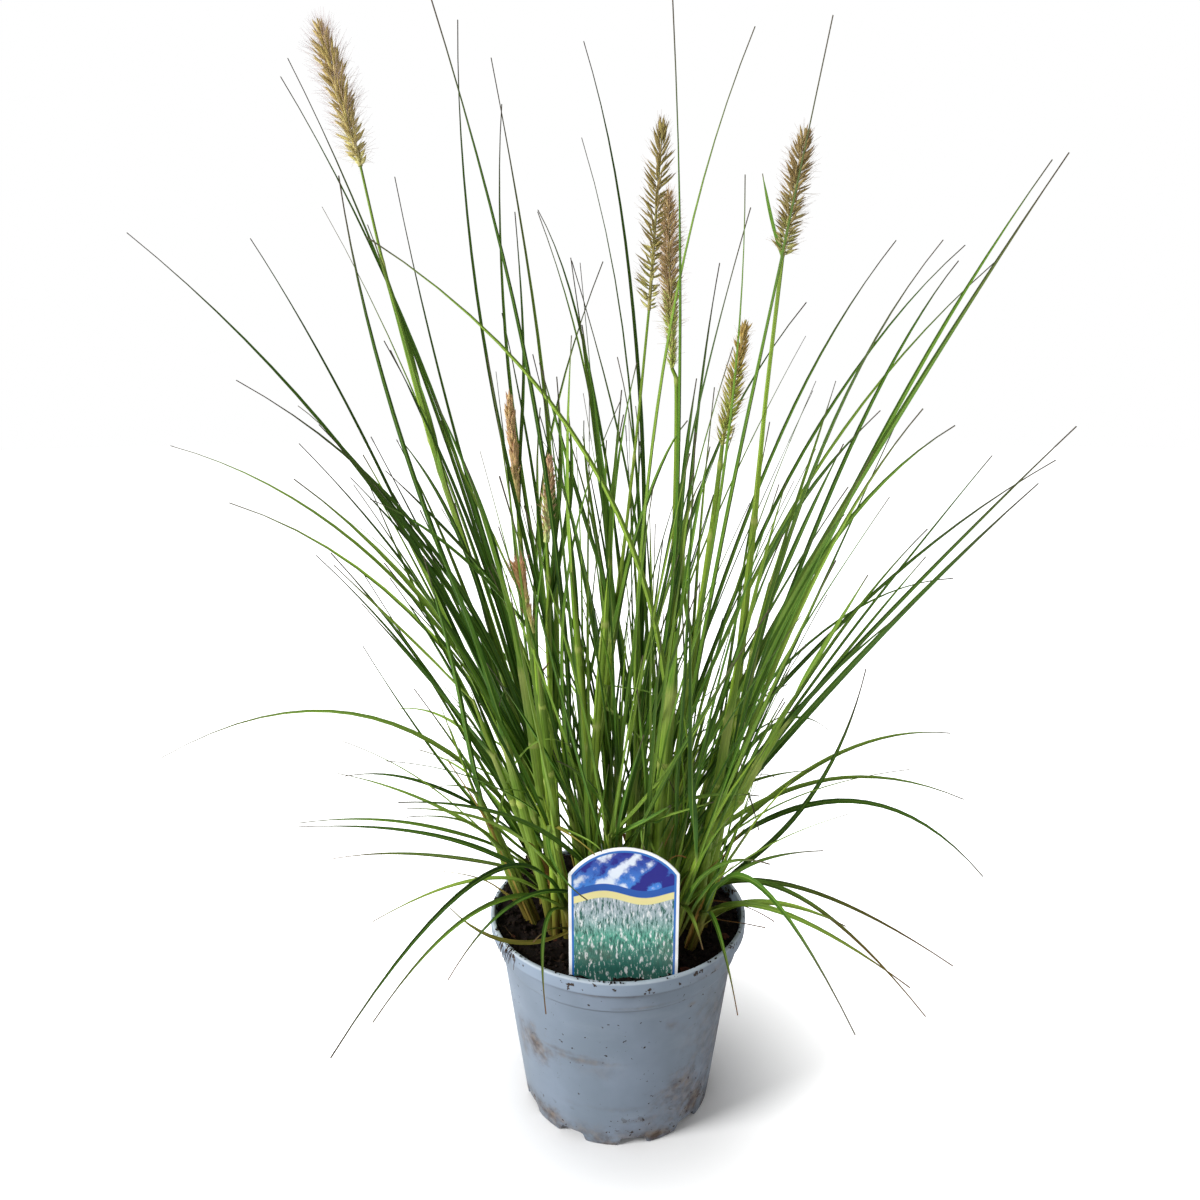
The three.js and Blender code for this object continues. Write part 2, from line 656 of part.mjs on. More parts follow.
// A leading leaf swung round its root and sprung from a given point
function swungLeaf(plan, at, swing) {
  const turnRound = (point) => vec(...point).sub(at).applyAxisAngle(vec(0, 0, 1), swing * deg).add(at);
  return { ...plan, root: at, bend: turnRound(plan.bend), tip: turnRound(plan.tip), twist: leadingTwist };
}

// The leading leaves, each on the nearest stem and swung as little as clears it
function growLeadingLeaves(stems, taken) {
  for (const plan of leadingLeaves) {
    const places = nearestAxisPoints(stems, vec(...plan.root));
    const swungTo = (swing) => places.map(({ stem, at }) => [stem, swungLeaf(plan, at, swing)]);
    const tries = swings.flatMap(swungTo);
    tries.some(([stem, leaf]) => addLeaf(stem, leaf, taken));
  }
}

function direction(azimuth, lean) {
  return vec(Math.sin(lean) * Math.cos(azimuth), Math.sin(lean) * Math.sin(azimuth), Math.cos(lean));
}

// The clump's outline: a funnel above, and looser low leaves below it
function insideFunnel(tip) {
  const reach = Math.hypot(tip.x, tip.y);
  const funnel = funnelFoot + funnelSlope * (tip.z - potHeight);
  return reach < (tip.z < 2 * potHeight ? lowReach : funnel);
}

// The other leaves of a tiller, in two ranks: long upright ones above, short arching ones below
function growLeaves(stem, count, taken) {
  const foot = stem.axis[0];
  const outward = Math.atan2(foot.y, foot.x);
  const reach = Math.hypot(foot.x, foot.y) / crownRadius;
  for (let k = 0; k < count; k += 1) {
    const rank = k % 2 === 0 ? 1 : -1;
    const level = 1 - (k / count) ** 1.2;
    for (let attempt = 0; attempt < placingTries; attempt += 1) {
      const loose = attempt / placingTries;
      const low = level < 0.35;
      const azimuth = outward + rank * draw(12, 60 + 30 * loose) * deg;
      const opening = THREE.MathUtils.lerp(30, 4, level ** 0.7);
      const lean = (reach * 15 + opening + draw(-3, 4 + 5 * loose)) * deg;
      const length = low ? draw(110, 230) : draw(140, 310);
      const arch = (low ? draw(25, 60) : draw(3, 17)) * deg;
      const share = THREE.MathUtils.lerp(0.4, 0.95, level);
      const root = mixed(foot, stem.axis[stem.axis.length - 1], share);
      root.addScaledVector(direction(azimuth, Math.PI / 2), stem.widths[0] * 0.12);
      const bend = root.clone().addScaledVector(direction(azimuth, lean), length * 0.5);
      const tip = bend.clone().addScaledVector(direction(azimuth, lean + arch), length * 0.5);
      const width = draw(3.6, 5.6);
      const leaf = { root, bend, tip, width, turn: draw(-80, 80), twist: draw(-40, 40) };
      if (insideFunnel(tip) && addLeaf(stem, leaf, taken)) {
        break;
      }
    }
  }
}

// A leaf blade: three-sided all along, with its keel underneath, and drawn to a point
function leafSolid(leaf) {
  const shares = leafShares(leaf);
  const across = leaf.tip.clone().sub(leaf.root).cross(vec(0, 0, 1)).normalize();
  const rings = [];
  for (const t of shares.slice(0, -1)) {
    const at = leafPoint(leaf, t);
    const ahead = leafPoint(leaf, t + 0.02).sub(at).normalize();
    const side = across.clone().addScaledVector(ahead, -across.dot(ahead)).normalize();
    side.applyAxisAngle(ahead, (leaf.turn + leaf.twist * t) * deg);
    const under = side.clone().cross(ahead).negate();
    const width = leafWidth(leaf, t);
    rings.push([
      at.clone().addScaledVector(side, width / 2),
      at.clone().addScaledVector(side, -width / 2),
      at.clone().addScaledVector(under, keelDepth + 0.1 * width),
    ]);
  }
  rings.push([leaf.tip]);
  return loft(rings);
}

function stemSolid(stem) {
  let solid = loft(stem.axis.map((at, k) => section(stem, k, at, 0)));
  for (const leaf of stem.leaves) {
    solid = solid.add(leafSolid(leaf));
  }
  return solid;
}

// A frame along the straight axis of a spike
function spikeFrame(from, to) {
  const ahead = to.clone().sub(from).normalize();
  const side = vec(1, 0, 0).addScaledVector(ahead, -ahead.x).normalize();
  const front = ahead.clone().cross(side);
  return { ahead, side, front };
}

// The spike's outline: fuller below the middle, closing at both ends
function spikeSwell(t) {
  return Math.sin(Math.PI * Math.min(1, 0.12 + 0.88 * t)) ** 0.45;
}

// Spikelets in rows round the axis: points raised outward and upward from the hollows between them
function spikeletCone(from, to, shape) {
  const { ahead, side, front } = spikeFrame(from, to);
  const length = from.distanceTo(to);
  const points = [];
  const faces = [];
  for (let i = 0; i <= shape.rings; i += 1) {
    const t = i / (shape.rings + 2);
    for (let j = 0; j < shape.sides; j += 1) {
      const raised = (i + j) % 2 === 0 && i > 0;
      const hollow = Math.min(shape.core, 1.1 + shape.core * t * 4) * (1 - 0.6 * t);
      const out = raised ? shape.reach * spikeSwell(t) : hollow;
      const rise = raised ? shape.reach * 0.75 : 0;
      const angle = (j / shape.sides) * 2 * Math.PI;
      const at = from.clone().addScaledVector(ahead, t * length + rise);
      at.addScaledVector(side, out * Math.cos(angle)).addScaledVector(front, out * Math.sin(angle));
      points.push(at);
    }
  }
  points.push(to);
  points.push(from);
  const top = points.length - 2;
  const base = points.length - 1;
  const index = (i, j) => i * shape.sides + (j % shape.sides);
  for (let j = 0; j < shape.sides; j += 1) {
    faces.push([base, index(0, j + 1), index(0, j)]);
    faces.push([top, index(shape.rings, j), index(shape.rings, j + 1)]);
  }
  for (let i = 0; i < shape.rings; i += 1) {
    for (let j = 0; j < shape.sides; j += 1) {
      const a = index(i, j);
      const b = index(i, j + 1);
      const c = index(i + 1, j + 1);
      const d = index(i + 1, j);
      const even = (i + j) % 2 === 0;
      faces.push(even ? [a, b, d] : [a, b, c]);
      faces.push(even ? [b, c, d] : [a, c, d]);
    }
  }
  return solidFrom(points, faces);
}

// A bristle: a three-sided needle from inside the spike out past the spikelets
function bristleSolid(from, to) {
  const { side, front } = spikeFrame(from, to);
  const ring = [];
  for (let n = 0; n < 3; n += 1) {
    const angle = (n / 3) * 2 * Math.PI;
    const point = from.clone().addScaledVector(side, bristleRadius * Math.cos(angle));
    ring.push(point.addScaledVector(front, bristleRadius * Math.sin(angle)));
  }
  return loft([ring, [to]]);
}

function spikeSolid(stem) {
  const { spike } = stem.flower;
  const culmTop = stem.axis[stem.axis.length - 1];
  const to = vec(...stem.flower.tip);
  const { ahead, side, front } = spikeFrame(culmTop, to);
  const from = culmTop.clone().addScaledVector(ahead, spikeGap);
  const length = from.distanceTo(to);
  let solid = spikeletCone(from, to, spike);
  for (let k = 0; k < spike.bristles; k += 1) {
    const t = 0.1 + (0.84 * (k + 0.5)) / spike.bristles;
    const angle = k * goldenAngle;
    const root = from.clone().addScaledVector(ahead, t * length);
    const radial = side.clone().multiplyScalar(Math.cos(angle)).addScaledVector(front, Math.sin(angle));
    const reach = spike.bristle * spikeSwell(t);
    const end = root.clone().addScaledVector(radial, reach).addScaledVector(ahead, spike.bristle * 0.9);
    solid = solid.add(bristleSolid(root, end));
  }
  return solid;
}

// What the leaves have to pass clear of: the stems and the spikes
function stemStretches(stem) {
  const stretches = [];
  for (let k = 0; k + 1 < stem.axis.length; k += 1) {
    const half = stem.widths[k] / 2;
    stretches.push({ owner: stem.name, from: stem.axis[k], to: stem.axis[k + 1], half });
  }
  if (stem.flower) {
    const from = stem.axis[stem.axis.length - 1];
    const to = vec(...stem.flower.tip);
    stretches.push({ owner: `${stem.name}_spike`, from, to, half: stem.flower.spike.bristle });
  }
  return stretches;
}

function green(k) {
  const color = new THREE.Color();
  const hue = 0.27 + 0.02 * Math.sin(k * 2.4);
  color.setHSL(hue, 0.45, 0.28 + 0.05 * Math.sin(k * 1.7), THREE.SRGBColorSpace);
  return color;
}

const flowers = growFloweringStems();
const taken = flowers.flatMap(stemStretches);
const tillers = growTillers(taken);
const stems = [...tillers, ...flowers];
growLeadingLeaves(stems, taken);
for (const stem of tillers) {
  growLeaves(stem, Math.max(3, leavesPerTiller - stem.leaves.length), taken);
}

const grass = new THREE.Group();
grass.add(meshOf('pot', buildPot(), '#8f9aa6', 0.55));
grass.add(meshOf('soil', buildSoil(stems), '#2c211b', 0.95));
grass.add(meshOf('plant_label', labelSolid(0), '#e8ecef', 0.4));
stems.forEach((stem, k) => grass.add(meshOf(stem.name, stemSolid(stem), green(k), 0.6)));
for (const stem of flowers) {
  grass.add(meshOf(`spike_${stem.flower.name}`, spikeSolid(stem), '#8c7a58', 0.9));
}

export default grass;
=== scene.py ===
# Potted fountain grass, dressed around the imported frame. Plant sizes are in millimetres until a mesh is made.
import math
from itertools import combinations
import bpy
import numpy as np
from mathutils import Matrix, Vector, noise


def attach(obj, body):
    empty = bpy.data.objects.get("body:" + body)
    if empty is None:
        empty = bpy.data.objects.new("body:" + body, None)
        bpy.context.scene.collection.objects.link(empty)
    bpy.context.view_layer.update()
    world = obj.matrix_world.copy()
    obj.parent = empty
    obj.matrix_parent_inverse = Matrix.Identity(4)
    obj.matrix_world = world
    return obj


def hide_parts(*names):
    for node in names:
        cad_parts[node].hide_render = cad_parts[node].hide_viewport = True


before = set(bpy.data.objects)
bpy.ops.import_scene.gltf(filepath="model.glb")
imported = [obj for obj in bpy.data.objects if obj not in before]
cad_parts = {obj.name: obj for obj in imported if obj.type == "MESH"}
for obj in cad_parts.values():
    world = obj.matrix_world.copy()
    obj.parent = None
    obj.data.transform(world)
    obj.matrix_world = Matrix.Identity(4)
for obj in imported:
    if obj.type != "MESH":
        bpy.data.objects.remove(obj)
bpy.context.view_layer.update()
mm = 0.001
deg = math.pi / 180
golden = math.pi * (3 - math.sqrt(5))
up = np.array([0.0, 0.0, 1.0])

# Where the photograph was taken from
camera = {"lens": 27, "sensor": 36, "tilt": 76.71, "at": (-0.012, -0.545, 0.467), "shift": 0.00667}


def put(name, data):
    made = bpy.data.objects.new(name, data)
    bpy.context.scene.collection.objects.link(made)
    return made


def placeCamera():
    data = bpy.data.cameras.new("camera")
    data.lens = camera["lens"]
    data.sensor_width = camera["sensor"]
    data.shift_y = camera["shift"]
    data.clip_start = 0.01
    eye = put("camera", data)
    eye.location = camera["at"]
    eye.rotation_euler = (math.radians(camera["tilt"]), 0, 0)
    bpy.context.scene.camera = eye


placeCamera()
print("frame and camera ready")


# Node helpers. Each works in the tree that its sockets belong to

def paint(code):
    parts = [int(code[k:k + 2], 16) / 255 for k in (1, 3, 5)]
    return tuple(((c + 0.055) / 1.055) ** 2.4 if c > 0.04045 else c / 12.92 for c in parts) + (1.0,)


def connect(node, inputs):
    # an input takes a socket, a value, or a colour by its code
    for name, value in inputs.items():
        if isinstance(value, bpy.types.NodeSocket):
            value.id_data.links.new(value, node.inputs[name])
        else:
            node.inputs[name].default_value = paint(value) if isinstance(value, str) else value
    return node


def add(tree, kind, inputs, **settings):
    made = tree.nodes.new("ShaderNode" + kind)
    for name, value in settings.items():
        setattr(made, name, value)
    return connect(made, inputs)


def calc(operation, *values):
    tree = next(value.id_data for value in values if isinstance(value, bpy.types.NodeSocket))
    return add(tree, "Math", dict(enumerate(values)), operation=operation).outputs[0]


def times(first, *others):
    for value in others:
        first = calc("MULTIPLY", first, value)
    return first


def scaled(value, by, offset):
    return calc("MULTIPLY_ADD", value, by, offset)


def blended(low, high, *shares, way="MIX"):
    # from low to high by the shares multiplied
    share = times(*shares)
    made = add(share.id_data, "Mix", {0: share, 6: low, 7: high}, data_type="RGBA", blend_type=way)
    return made.outputs[2]


def layered(color, *layers):
    # each layer is a colour and its shares
    for layer, *shares in layers:
        color = blended(color, layer, *shares)
    return color


def ramp(share, *stops):
    made = add(share.id_data, "ValToRGB", {0: share})
    points = made.color_ramp.elements
    while len(points) < len(stops):
        points.new(0.5)
    for point, (position, color) in zip(points, stops):
        point.position = position
        point.color = paint(color)
    return made.outputs[0]


def fade(value, low, high):
    made = add(value.id_data, "MapRange", {0: value, 1: low, 2: high}, interpolation_type="SMOOTHSTEP")
    return made.outputs[0]


def clouds(where, scale, detail=4, rough=0.55):
    inputs = {"Vector": where, "Scale": scale, "Detail": detail, "Roughness": rough}
    return add(where.id_data, "TexNoise", inputs).outputs[0]


def mapped(where, spin=0.0, size=(1, 1, 1)):
    return add(where.id_data, "Mapping", {0: where, 2: (0, 0, spin), 3: size}).outputs[0]


def split(vector):
    return add(vector.id_data, "SeparateXYZ", {0: vector}).outputs


def bump(height, strength, distance):
    inputs = {"Height": height, "Strength": strength, "Distance": distance}
    return add(height.id_data, "Bump", inputs).outputs[0]


def newMaterial(name, **finish):
    material = bpy.data.materials.new(name)
    material.use_nodes = True
    tree = material.node_tree
    constants = {key.replace("_", " "): value for key, value in finish.items()}
    shader = connect(tree.nodes["Principled BSDF"], constants)
    return material, shader, add(tree, "TexCoord", {}).outputs["Object"]


def newGroup(name, inputs, outputs):
    # inputs are labels with their first value, or a vector socket where that is None
    tree = bpy.data.node_groups.new(name, "ShaderNodeTree")
    for label, value in inputs.items():
        kind = "Vector" if value is None else "Float"
        socket = tree.interface.new_socket(label, in_out="INPUT", socket_type="NodeSocket" + kind)
        if value is not None:
            socket.default_value = value
    for label in outputs:
        tree.interface.new_socket(label, in_out="OUTPUT", socket_type="NodeSocketFloat")
    return tree, tree.nodes.new("NodeGroupInput").outputs, tree.nodes.new("NodeGroupOutput")


# Shared effects: leaf veins, specks and smudges of soil, and a ragged patch for dirt and painted shade

def makeVeinGroup():
    tree, given, out = newGroup("leafVeins", {"Along": 0.0, "Across": 0.0, "Seed": 0.0}, ["Vein", "Streak"])
    vein = scaled(calc("COSINE", times(given["Across"], 8.0 * math.pi)), 0.5, 0.5)
    spot = {0: times(given["Across"], 2.6), 1: times(given["Along"], 2.2), 2: times(given["Seed"], 37.0)}
    streak = clouds(add(tree, "CombineXYZ", spot).outputs[0], 1.6, 5)
    connect(out, {"Vein": vein, "Streak": streak})
    return tree


def makeSpeckGroup():
    inputs = {"Where": None, "Scale": 300.0, "Amount": 0.1, "Patch": 12.0}
    tree, given, out = newGroup("soilSpecks", inputs, ["Specks"])
    fine = clouds(given["Where"], given["Scale"], 3, 0.6)
    patch = clouds(given["Where"], given["Patch"], 5, 0.6)
    level = calc("SUBTRACT", 0.78, times(given["Amount"], patch))
    connect(out, {"Specks": fade(fine, level, calc("ADD", level, 0.03))})
    return tree


def makePatchGroup():
    inputs = {"Round": 0.0, "High": 0.0, "Ragged": 0.0, "AtHigh": 0.0, "Wide": 10.0, "Tall": 10.0}
    tree, given, out = newGroup("dirtAndShadePatch", inputs, ["Mask"])
    across = calc("DIVIDE", given["Round"], given["Wide"])
    rise = calc("DIVIDE", calc("SUBTRACT", given["High"], given["AtHigh"]), given["Tall"])
    away = calc("SQRT", calc("ADD", times(across, across), times(rise, rise)))
    away = scaled(calc("SUBTRACT", given["Ragged"], 0.5), -3.0, away)
    connect(out, {"Mask": fade(away, 1.45, -0.35)})
    return tree


leafVeins = makeVeinGroup()
soilSpecks = makeSpeckGroup()
dirtAndShadePatch = makePatchGroup()


# Mesh helpers. A part is (points in mm, faces, {attribute: vectors}, number of its material)

def column(values):
    return np.reshape(values, (-1, 1))


def roundAngles(sides):
    return np.arange(sides) / sides * 2 * math.pi


def ringsRound(middle, side, front, turn, half):
    # rings of points round the points of a line
    side, front = np.atleast_2d(side)[:, None], np.atleast_2d(front)[:, None]
    ring = side * column(np.cos(turn)) + front * column(np.sin(turn))
    return middle[:, None] + half[:, None, None] * ring


def turnedRings(rows, sides):
    # a row is a radius and a height, each one number or one for every side
    turn = roundAngles(sides)
    rings = [np.broadcast_arrays(r * np.cos(turn), r * np.sin(turn), z) for r, z in rows]
    return np.stack([np.stack(ring, axis=-1) for ring in rings])


def ringFaces(index):
    # quads between the rings of one body or of many, and the two ends
    ahead = np.roll(index, -1, axis=-1)
    corners = [index[..., :-1, :], ahead[..., :-1, :], ahead[..., 1:, :], index[..., 1:, :]]
    ends = [index[..., 0, ::-1], index[..., -1, :]]
    faces = np.stack(corners, axis=-1).reshape(-1, 4).tolist()
    for end in ends:
        faces += end.reshape(-1, index.shape[-1]).tolist()
    return faces


def closedTube(rings, marks=None, material=0):
    index = np.arange(rings.size // 3).reshape(rings.shape[:-1])
    return rings.reshape(-1, 3), ringFaces(index), marks or {}, material


def marked(shape, lie, state):
    # lie is (along, across, seed) on a leaf, state is (age, paleness, painted shade deep in the clump)
    return {key: np.stack([np.broadcast_to(value, shape) for value in three], axis=-1).reshape(-1, 3)
            for key, three in (("lie", lie), ("state", state))}


def joinParts(parts):
    points, faces, start = [], [], 0
    for part in parts:
        points.append(part[0])
        faces += [[start + k for k in face] for face in part[1]]
        start += len(part[0])
    return np.concatenate(points) * mm, faces


def makePiece(name, parts, materials, slot, nodes=(), sharp=40):
    points, faces = joinParts(parts)
    mesh = bpy.data.meshes.new(name)
    mesh.from_pydata(points, [], faces)
    for key in parts[0][2]:
        values = np.concatenate([part[2][key] for part in parts]).astype(np.float32)
        mesh.attributes.new(key, "FLOAT_VECTOR", "POINT").data.foreach_set("vector", values.ravel())
    for material in materials:
        mesh.materials.append(material)
    mesh.polygons.foreach_set("material_index", [part[3] for part in parts for face in part[1]])
    mesh.polygons.foreach_set("use_smooth", [True] * len(faces))
    mesh.set_sharp_from_angle(angle=sharp * deg)
    mesh.update()
    piece = put(name, mesh)
    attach(piece, "root")
    if nodes:
        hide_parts(*nodes)
    return piece


# Geometry helpers

def unit(vector):
    return vector / np.sqrt((vector * vector).sum(axis=-1, keepdims=True))


def dots(a, b):
    return (a * b).sum(axis=-1)


def lerp(a, b, t):
    return (1 - t) * a + t * b


def smooth(x):
    x = np.clip(x, 0, 1)
    return x * x * (3 - 2 * x)


def turnedRound(vector, axis, angle):
    c, s = np.cos(angle)[..., None], np.sin(angle)[..., None]
    return vector * c + np.cross(axis, vector) * s + axis * dots(vector, axis)[..., None] * (1 - c)


def squareTo(vector, axis):
    return unit(vector - axis * dots(vector, axis)[..., None])


# How the clump grows: the solids' own rule, with the same draws in the same order
clump = {
    "seed": 146, "radius": 58, "spiral": 40, "lean": 0.36, "middleHeight": 150, "edgeHeight": 85,
    "planting": 16, "stemRoom": 1.2, "leafRoom": 0.5, "leaves": 7, "tries": 30, "choices": 5,
    "twist": 25, "archingFrom": 30, "lowestLeaf": 40, "funnelFoot": 72, "funnelSlope": 0.3, "lowReach": 195,
    "swings": (0, 2, -2, 4, -4, 6, -6, 9, -9),
    "arching": (0, 0.18, 0.38, 0.58, 0.78, 1), "straight": (0, 0.24, 0.5, 0.76, 1),
    "tillerHeight": (0.75, 1.15), "tillerWidth": (8, 11), "tillerFlat": 0.62, "tillerTurn": (-60, 60),
    "lowShare": 0.35, "leafLength": (140, 310), "lowLength": (110, 230), "leafArch": (3, 17),
    "lowArch": (25, 60), "leafFrom": (0.4, 0.95), "opening": (30, 4), "leafWidth": (3.6, 5.6),
    "leafTurn": (-80, 80), "leafTwist": (-40, 40), "culm": 2.8, "culmTop": 2.4,
    "sheath": 5, "slimSheath": 4.2,
}
potSize = {"rim": 85, "height": 133, "rimRoom": 7}
labelSize = {"width": 65, "shoulder": 196, "top": 213, "at": (2, -71), "thickness": 0.9, "room": 9}

# Flowering stems: foot, the point passed where the sheaths end, spike tip, spike reach, bristle length and
# the points passed
floweringStems = {
    "a": {"foot": (-26, 8), "knee": 2, "tip": (24, 15, 624), "reach": 10, "bristle": 14,
          "path": [(-20, 10, 195), (-4, 14, 314), (9, 15, 430), (17, 15, 516)]},
    "b": {"foot": (24, 20), "knee": 3, "tip": (30, 60, 596), "reach": 11, "bristle": 16,
          "path": [(27, 23, 170), (34, 30, 268), (37, 42, 370), (37, 50, 476), (34, 50, 484)]},
    "c": {"foot": (48, 12), "knee": 3, "tip": (106, 20, 619), "reach": 10, "bristle": 14,
          "path": [(57, 12, 170), (73, 14, 245), (85, 18, 390), (89, 20, 457), (96, 20, 547)]},
    "d": {"foot": (27, -8), "knee": 3, "tip": (70, -20, 511), "reach": 7.5, "bristle": 10,
          "path": [(34, -8, 213), (44, -10, 295), (54, -14, 385), (58, -15, 428), (59, -15, 439)]},
    "e": {"foot": (-40, 26), "knee": 3, "tip": (-69, 30, 470), "reach": 3, "bristle": 5,
          "path": [(-47, 24, 205), (-54, 22, 275), (-58, 21, 326), (-63, 24, 377), (-64, 25, 401)]},
    "f": {"foot": (-36, -8), "knee": 3, "tip": (-42, 0, 435), "reach": 4.4, "bristle": 7,
          "path": [(-41, 0, 210), (-43, 2, 264), (-45, 4, 317), (-44, 5, 355), (-45, 5, 379)]},
    "g": {"foot": (-40, -24), "knee": 2, "tip": (-61, -29, 376), "reach": 6, "bristle": 12,
          "path": [(-44, -20, 191), (-47, -22, 253), (-50, -24, 293), (-52, -25, 329)]},
    "h": {"foot": (-50, 8), "knee": 5, "tip": (-182, 60, 690), "reach": 13, "bristle": 19,
          "path": [(-55, 14, 175), (-62, 18, 229), (-78, 24, 297), (-96, 30, 363), (-120, 38, 439),
                   (-147, 50, 547), (-159, 55, 604)]},
}

# Leading leaves: root, bend, tip, width
leadingLeaves = [
    # Upper left
    ((-40, 30, 200), (-115, 55, 490), (-210, 90, 675), 4),
    ((-50, 20, 200), (-100, 35, 490), (-195, 60, 650), 4),
    ((-50, 0, 200), (-130, 10, 430), (-290, 20, 560), 6.5),
    ((-50, 10, 200), (-155, 20, 455), (-225, 40, 560), 5),
    ((-50, -10, 200), (-75, -20, 395), (-210, -40, 475), 5),
    ((-50, 20, 190), (-135, 35, 395), (-292, 50, 435), 4.5),
    ((-50, 30, 180), (-140, 55, 410), (-220, 90, 460), 3.5),
    ((-40, -5, 160), (-110, -10, 300), (-180, -20, 375), 4),
    ((-45, 15, 160), (-90, 35, 215), (-175, 60, 350), 4),
    ((-50, 0, 200), (-140, -10, 425), (-150, -30, 580), 5),
    ((-30, 35, 200), (-100, 65, 355), (-150, 110, 610), 4.5),
    ((40, -20, 200), (40, -35, 440), (-130, -60, 545), 5),
    ((-25, -15, 220), (-25, -24, 430), (-98, -35, 665), 6.5),
    ((-30, 10, 220), (-90, 20, 490), (-85, 30, 675), 6),
    ((-40, 30, 200), (-25, 50, 395), (-80, 80, 672), 5),
    ((-30, 25, 200), (-85, 40, 480), (-72, 60, 640), 4.5),
    ((-10, 40, 200), (10, 70, 425), (-55, 120, 590), 4),
    ((-50, 0, 220), (-110, 5, 375), (-180, 10, 450), 5),
    ((-50, -5, 200), (-105, -10, 350), (-185, -20, 440), 4),
    ((-50, 5, 190), (-120, 20, 310), (-160, 30, 415), 4.5),
    ((-50, -10, 180), (-105, -20, 285), (-135, -25, 335), 4),
    ((-50, 10, 200), (-90, 20, 340), (-140, 30, 440), 5),
    ((-50, 15, 180), (-75, 20, 300), (-105, 30, 400), 5),
    # Middle
    ((15, 45, 210), (30, 60, 520), (-22, 65, 676), 4.5),
    ((15, -10, 230), (45, -25, 350), (19, -55, 655), 6),
    ((0, 0, 220), (5, -10, 500), (68, -25, 652), 5),
    ((-40, 30, 200), (-80, 60, 385), (-10, 100, 555), 4),
    ((5, 20, 200), (40, 35, 330), (-30, 60, 550), 4),
    ((35, 30, 190), (45, 45, 440), (65, 70, 550), 4),
    ((45, -20, 220), (55, -35, 430), (93, -72, 640), 6),
    ((44, -18, 210), (53, -34, 420), (75, -55, 575), 5),
    ((10, 25, 190), (15, 35, 400), (120, 60, 525), 4),
    ((-20, -10, 180), (-60, -15, 340), (0, -30, 465), 4),
    # Upper right
    ((50, 10, 200), (145, 15, 445), (250, 22, 600), 5.5),
    ((45, -10, 200), (140, -20, 435), (232, -35, 590), 6),
    ((30, 30, 190), (100, 60, 425), (255, 100, 555), 4),
    ((30, 40, 190), (105, 75, 455), (245, 130, 570), 4),
    ((50, 20, 190), (145, 35, 470), (215, 60, 550), 4.5),
    ((50, 35, 190), (85, 65, 445), (190, 110, 570), 4),
    ((50, -10, 200), (95, -25, 450), (165, -50, 545), 4.5),
    ((50, -10, 180), (105, -20, 375), (165, -40, 460), 4.5),
    ((50, 0, 180), (100, -5, 390), (195, -10, 450), 6),
    ((45, 20, 170), (100, 45, 250), (190, 80, 450), 4),
    ((40, 0, 160), (165, -10, 345), (258, -25, 450), 7),
    ((40, 20, 160), (135, 35, 340), (292, 62, 425), 5.5),
    ((35, 30, 160), (185, 60, 345), (270, 110, 425), 4.5),
    ((45, 5, 160), (130, 10, 320), (195, 20, 385), 4),
    ((45, 15, 160), (115, 35, 345), (230, 60, 345), 4.5),
    # Low leaves round the rim, left
    ((-50, -5, 150), (-130, -5, 335), (-292, -10, 242), 5),
    ((-45, 10, 150), (-120, 20, 205), (-195, 40, 210), 4.5),
    ((-45, -10, 150), (-85, -20, 205), (-200, -30, 205), 5.5),
    ((-45, 0, 150), (-120, 10, 175), (-200, 30, 150), 4.5),
    ((-45, -20, 150), (-75, -30, 190), (-155, -40, 145), 5),
    ((-40, -35, 150), (-60, -110, 275), (-126, -218, 194), 5.5),
    ((-35, -35, 150), (-75, -80, 215), (-127, -150, 158), 5),
    ((-20, -45, 150), (-55, -70, 215), (-100, -95, 145), 4.5),
    ((-50, 15, 155), (-110, 35, 190), (-175, 50, 300), 4),
    ((-40, 35, 155), (-110, 90, 260), (-190, 150, 215), 5),
    ((-50, 0, 165), (-120, -5, 240), (-175, -10, 230), 4.5),
    ((-50, 0, 155), (-120, -10, 210), (-205, -15, 200), 4.5),
    # Low leaves round the rim, right
    ((45, -10, 150), (135, -15, 200), (150, -20, 305), 5),
    ((50, 15, 150), (135, 25, 255), (230, 40, 240), 5),
    ((45, 10, 150), (115, 15, 255), (235, 20, 200), 5),
    ((45, -10, 150), (145, -15, 270), (235, -20, 165), 5.5),
    ((35, -35, 150), (60, -45, 195), (120, -60, 205), 4.5),
    ((45, -15, 150), (95, -20, 190), (215, -35, 110), 5),
    ((35, -35, 150), (85, -50, 180), (135, -65, 158), 6),
    ((35, -25, 150), (95, -40, 210), (190, -60, 92), 5),
    ((45, -35, 150), (60, -110, 265), (98, -210, 199), 5.5),
    ((35, -35, 150), (75, -60, 195), (165, -95, 138), 5.5),
    ((44, -40, 150), (54, -80, 195), (62, -125, 143), 4.5),
    ((-42, -38, 150), (-50, -85, 195), (-41, -124, 143), 4.5),
    ((45, 30, 155), (110, 80, 270), (175, 150, 200), 5),
    # Back
    ((0, 50, 170), (-25, 130, 400), (-60, 216, 430), 5.5),
    ((15, 50, 160), (30, 120, 300), (70, 217, 235), 5),
    ((-20, 45, 160), (-60, 110, 260), (-100, 190, 175), 5),
]


def makeDraw(seed):
    state = seed

    def draw(low, high):
        nonlocal state
        state = (state * 1664525 + 1013904223) % 4294967296
        return low + (high - low) * (state / 4294967296)
    return draw


draw = makeDraw(clump["seed"])


def soilHeight(x, y):
    heap = 11 * np.exp(-((np.hypot(x, y) / 52) ** 2))
    offBank = np.hypot((x + 55) / 28, (y - 45) / 30)
    lumps = np.sin(x * 0.23 + 1) * np.sin(y * 0.27 + 2) + 0.6 * np.sin(x * 0.11 - y * 0.17)
    return 121 + heap + 8 * np.exp(-(offBank ** 2)) + 1.44 * lumps


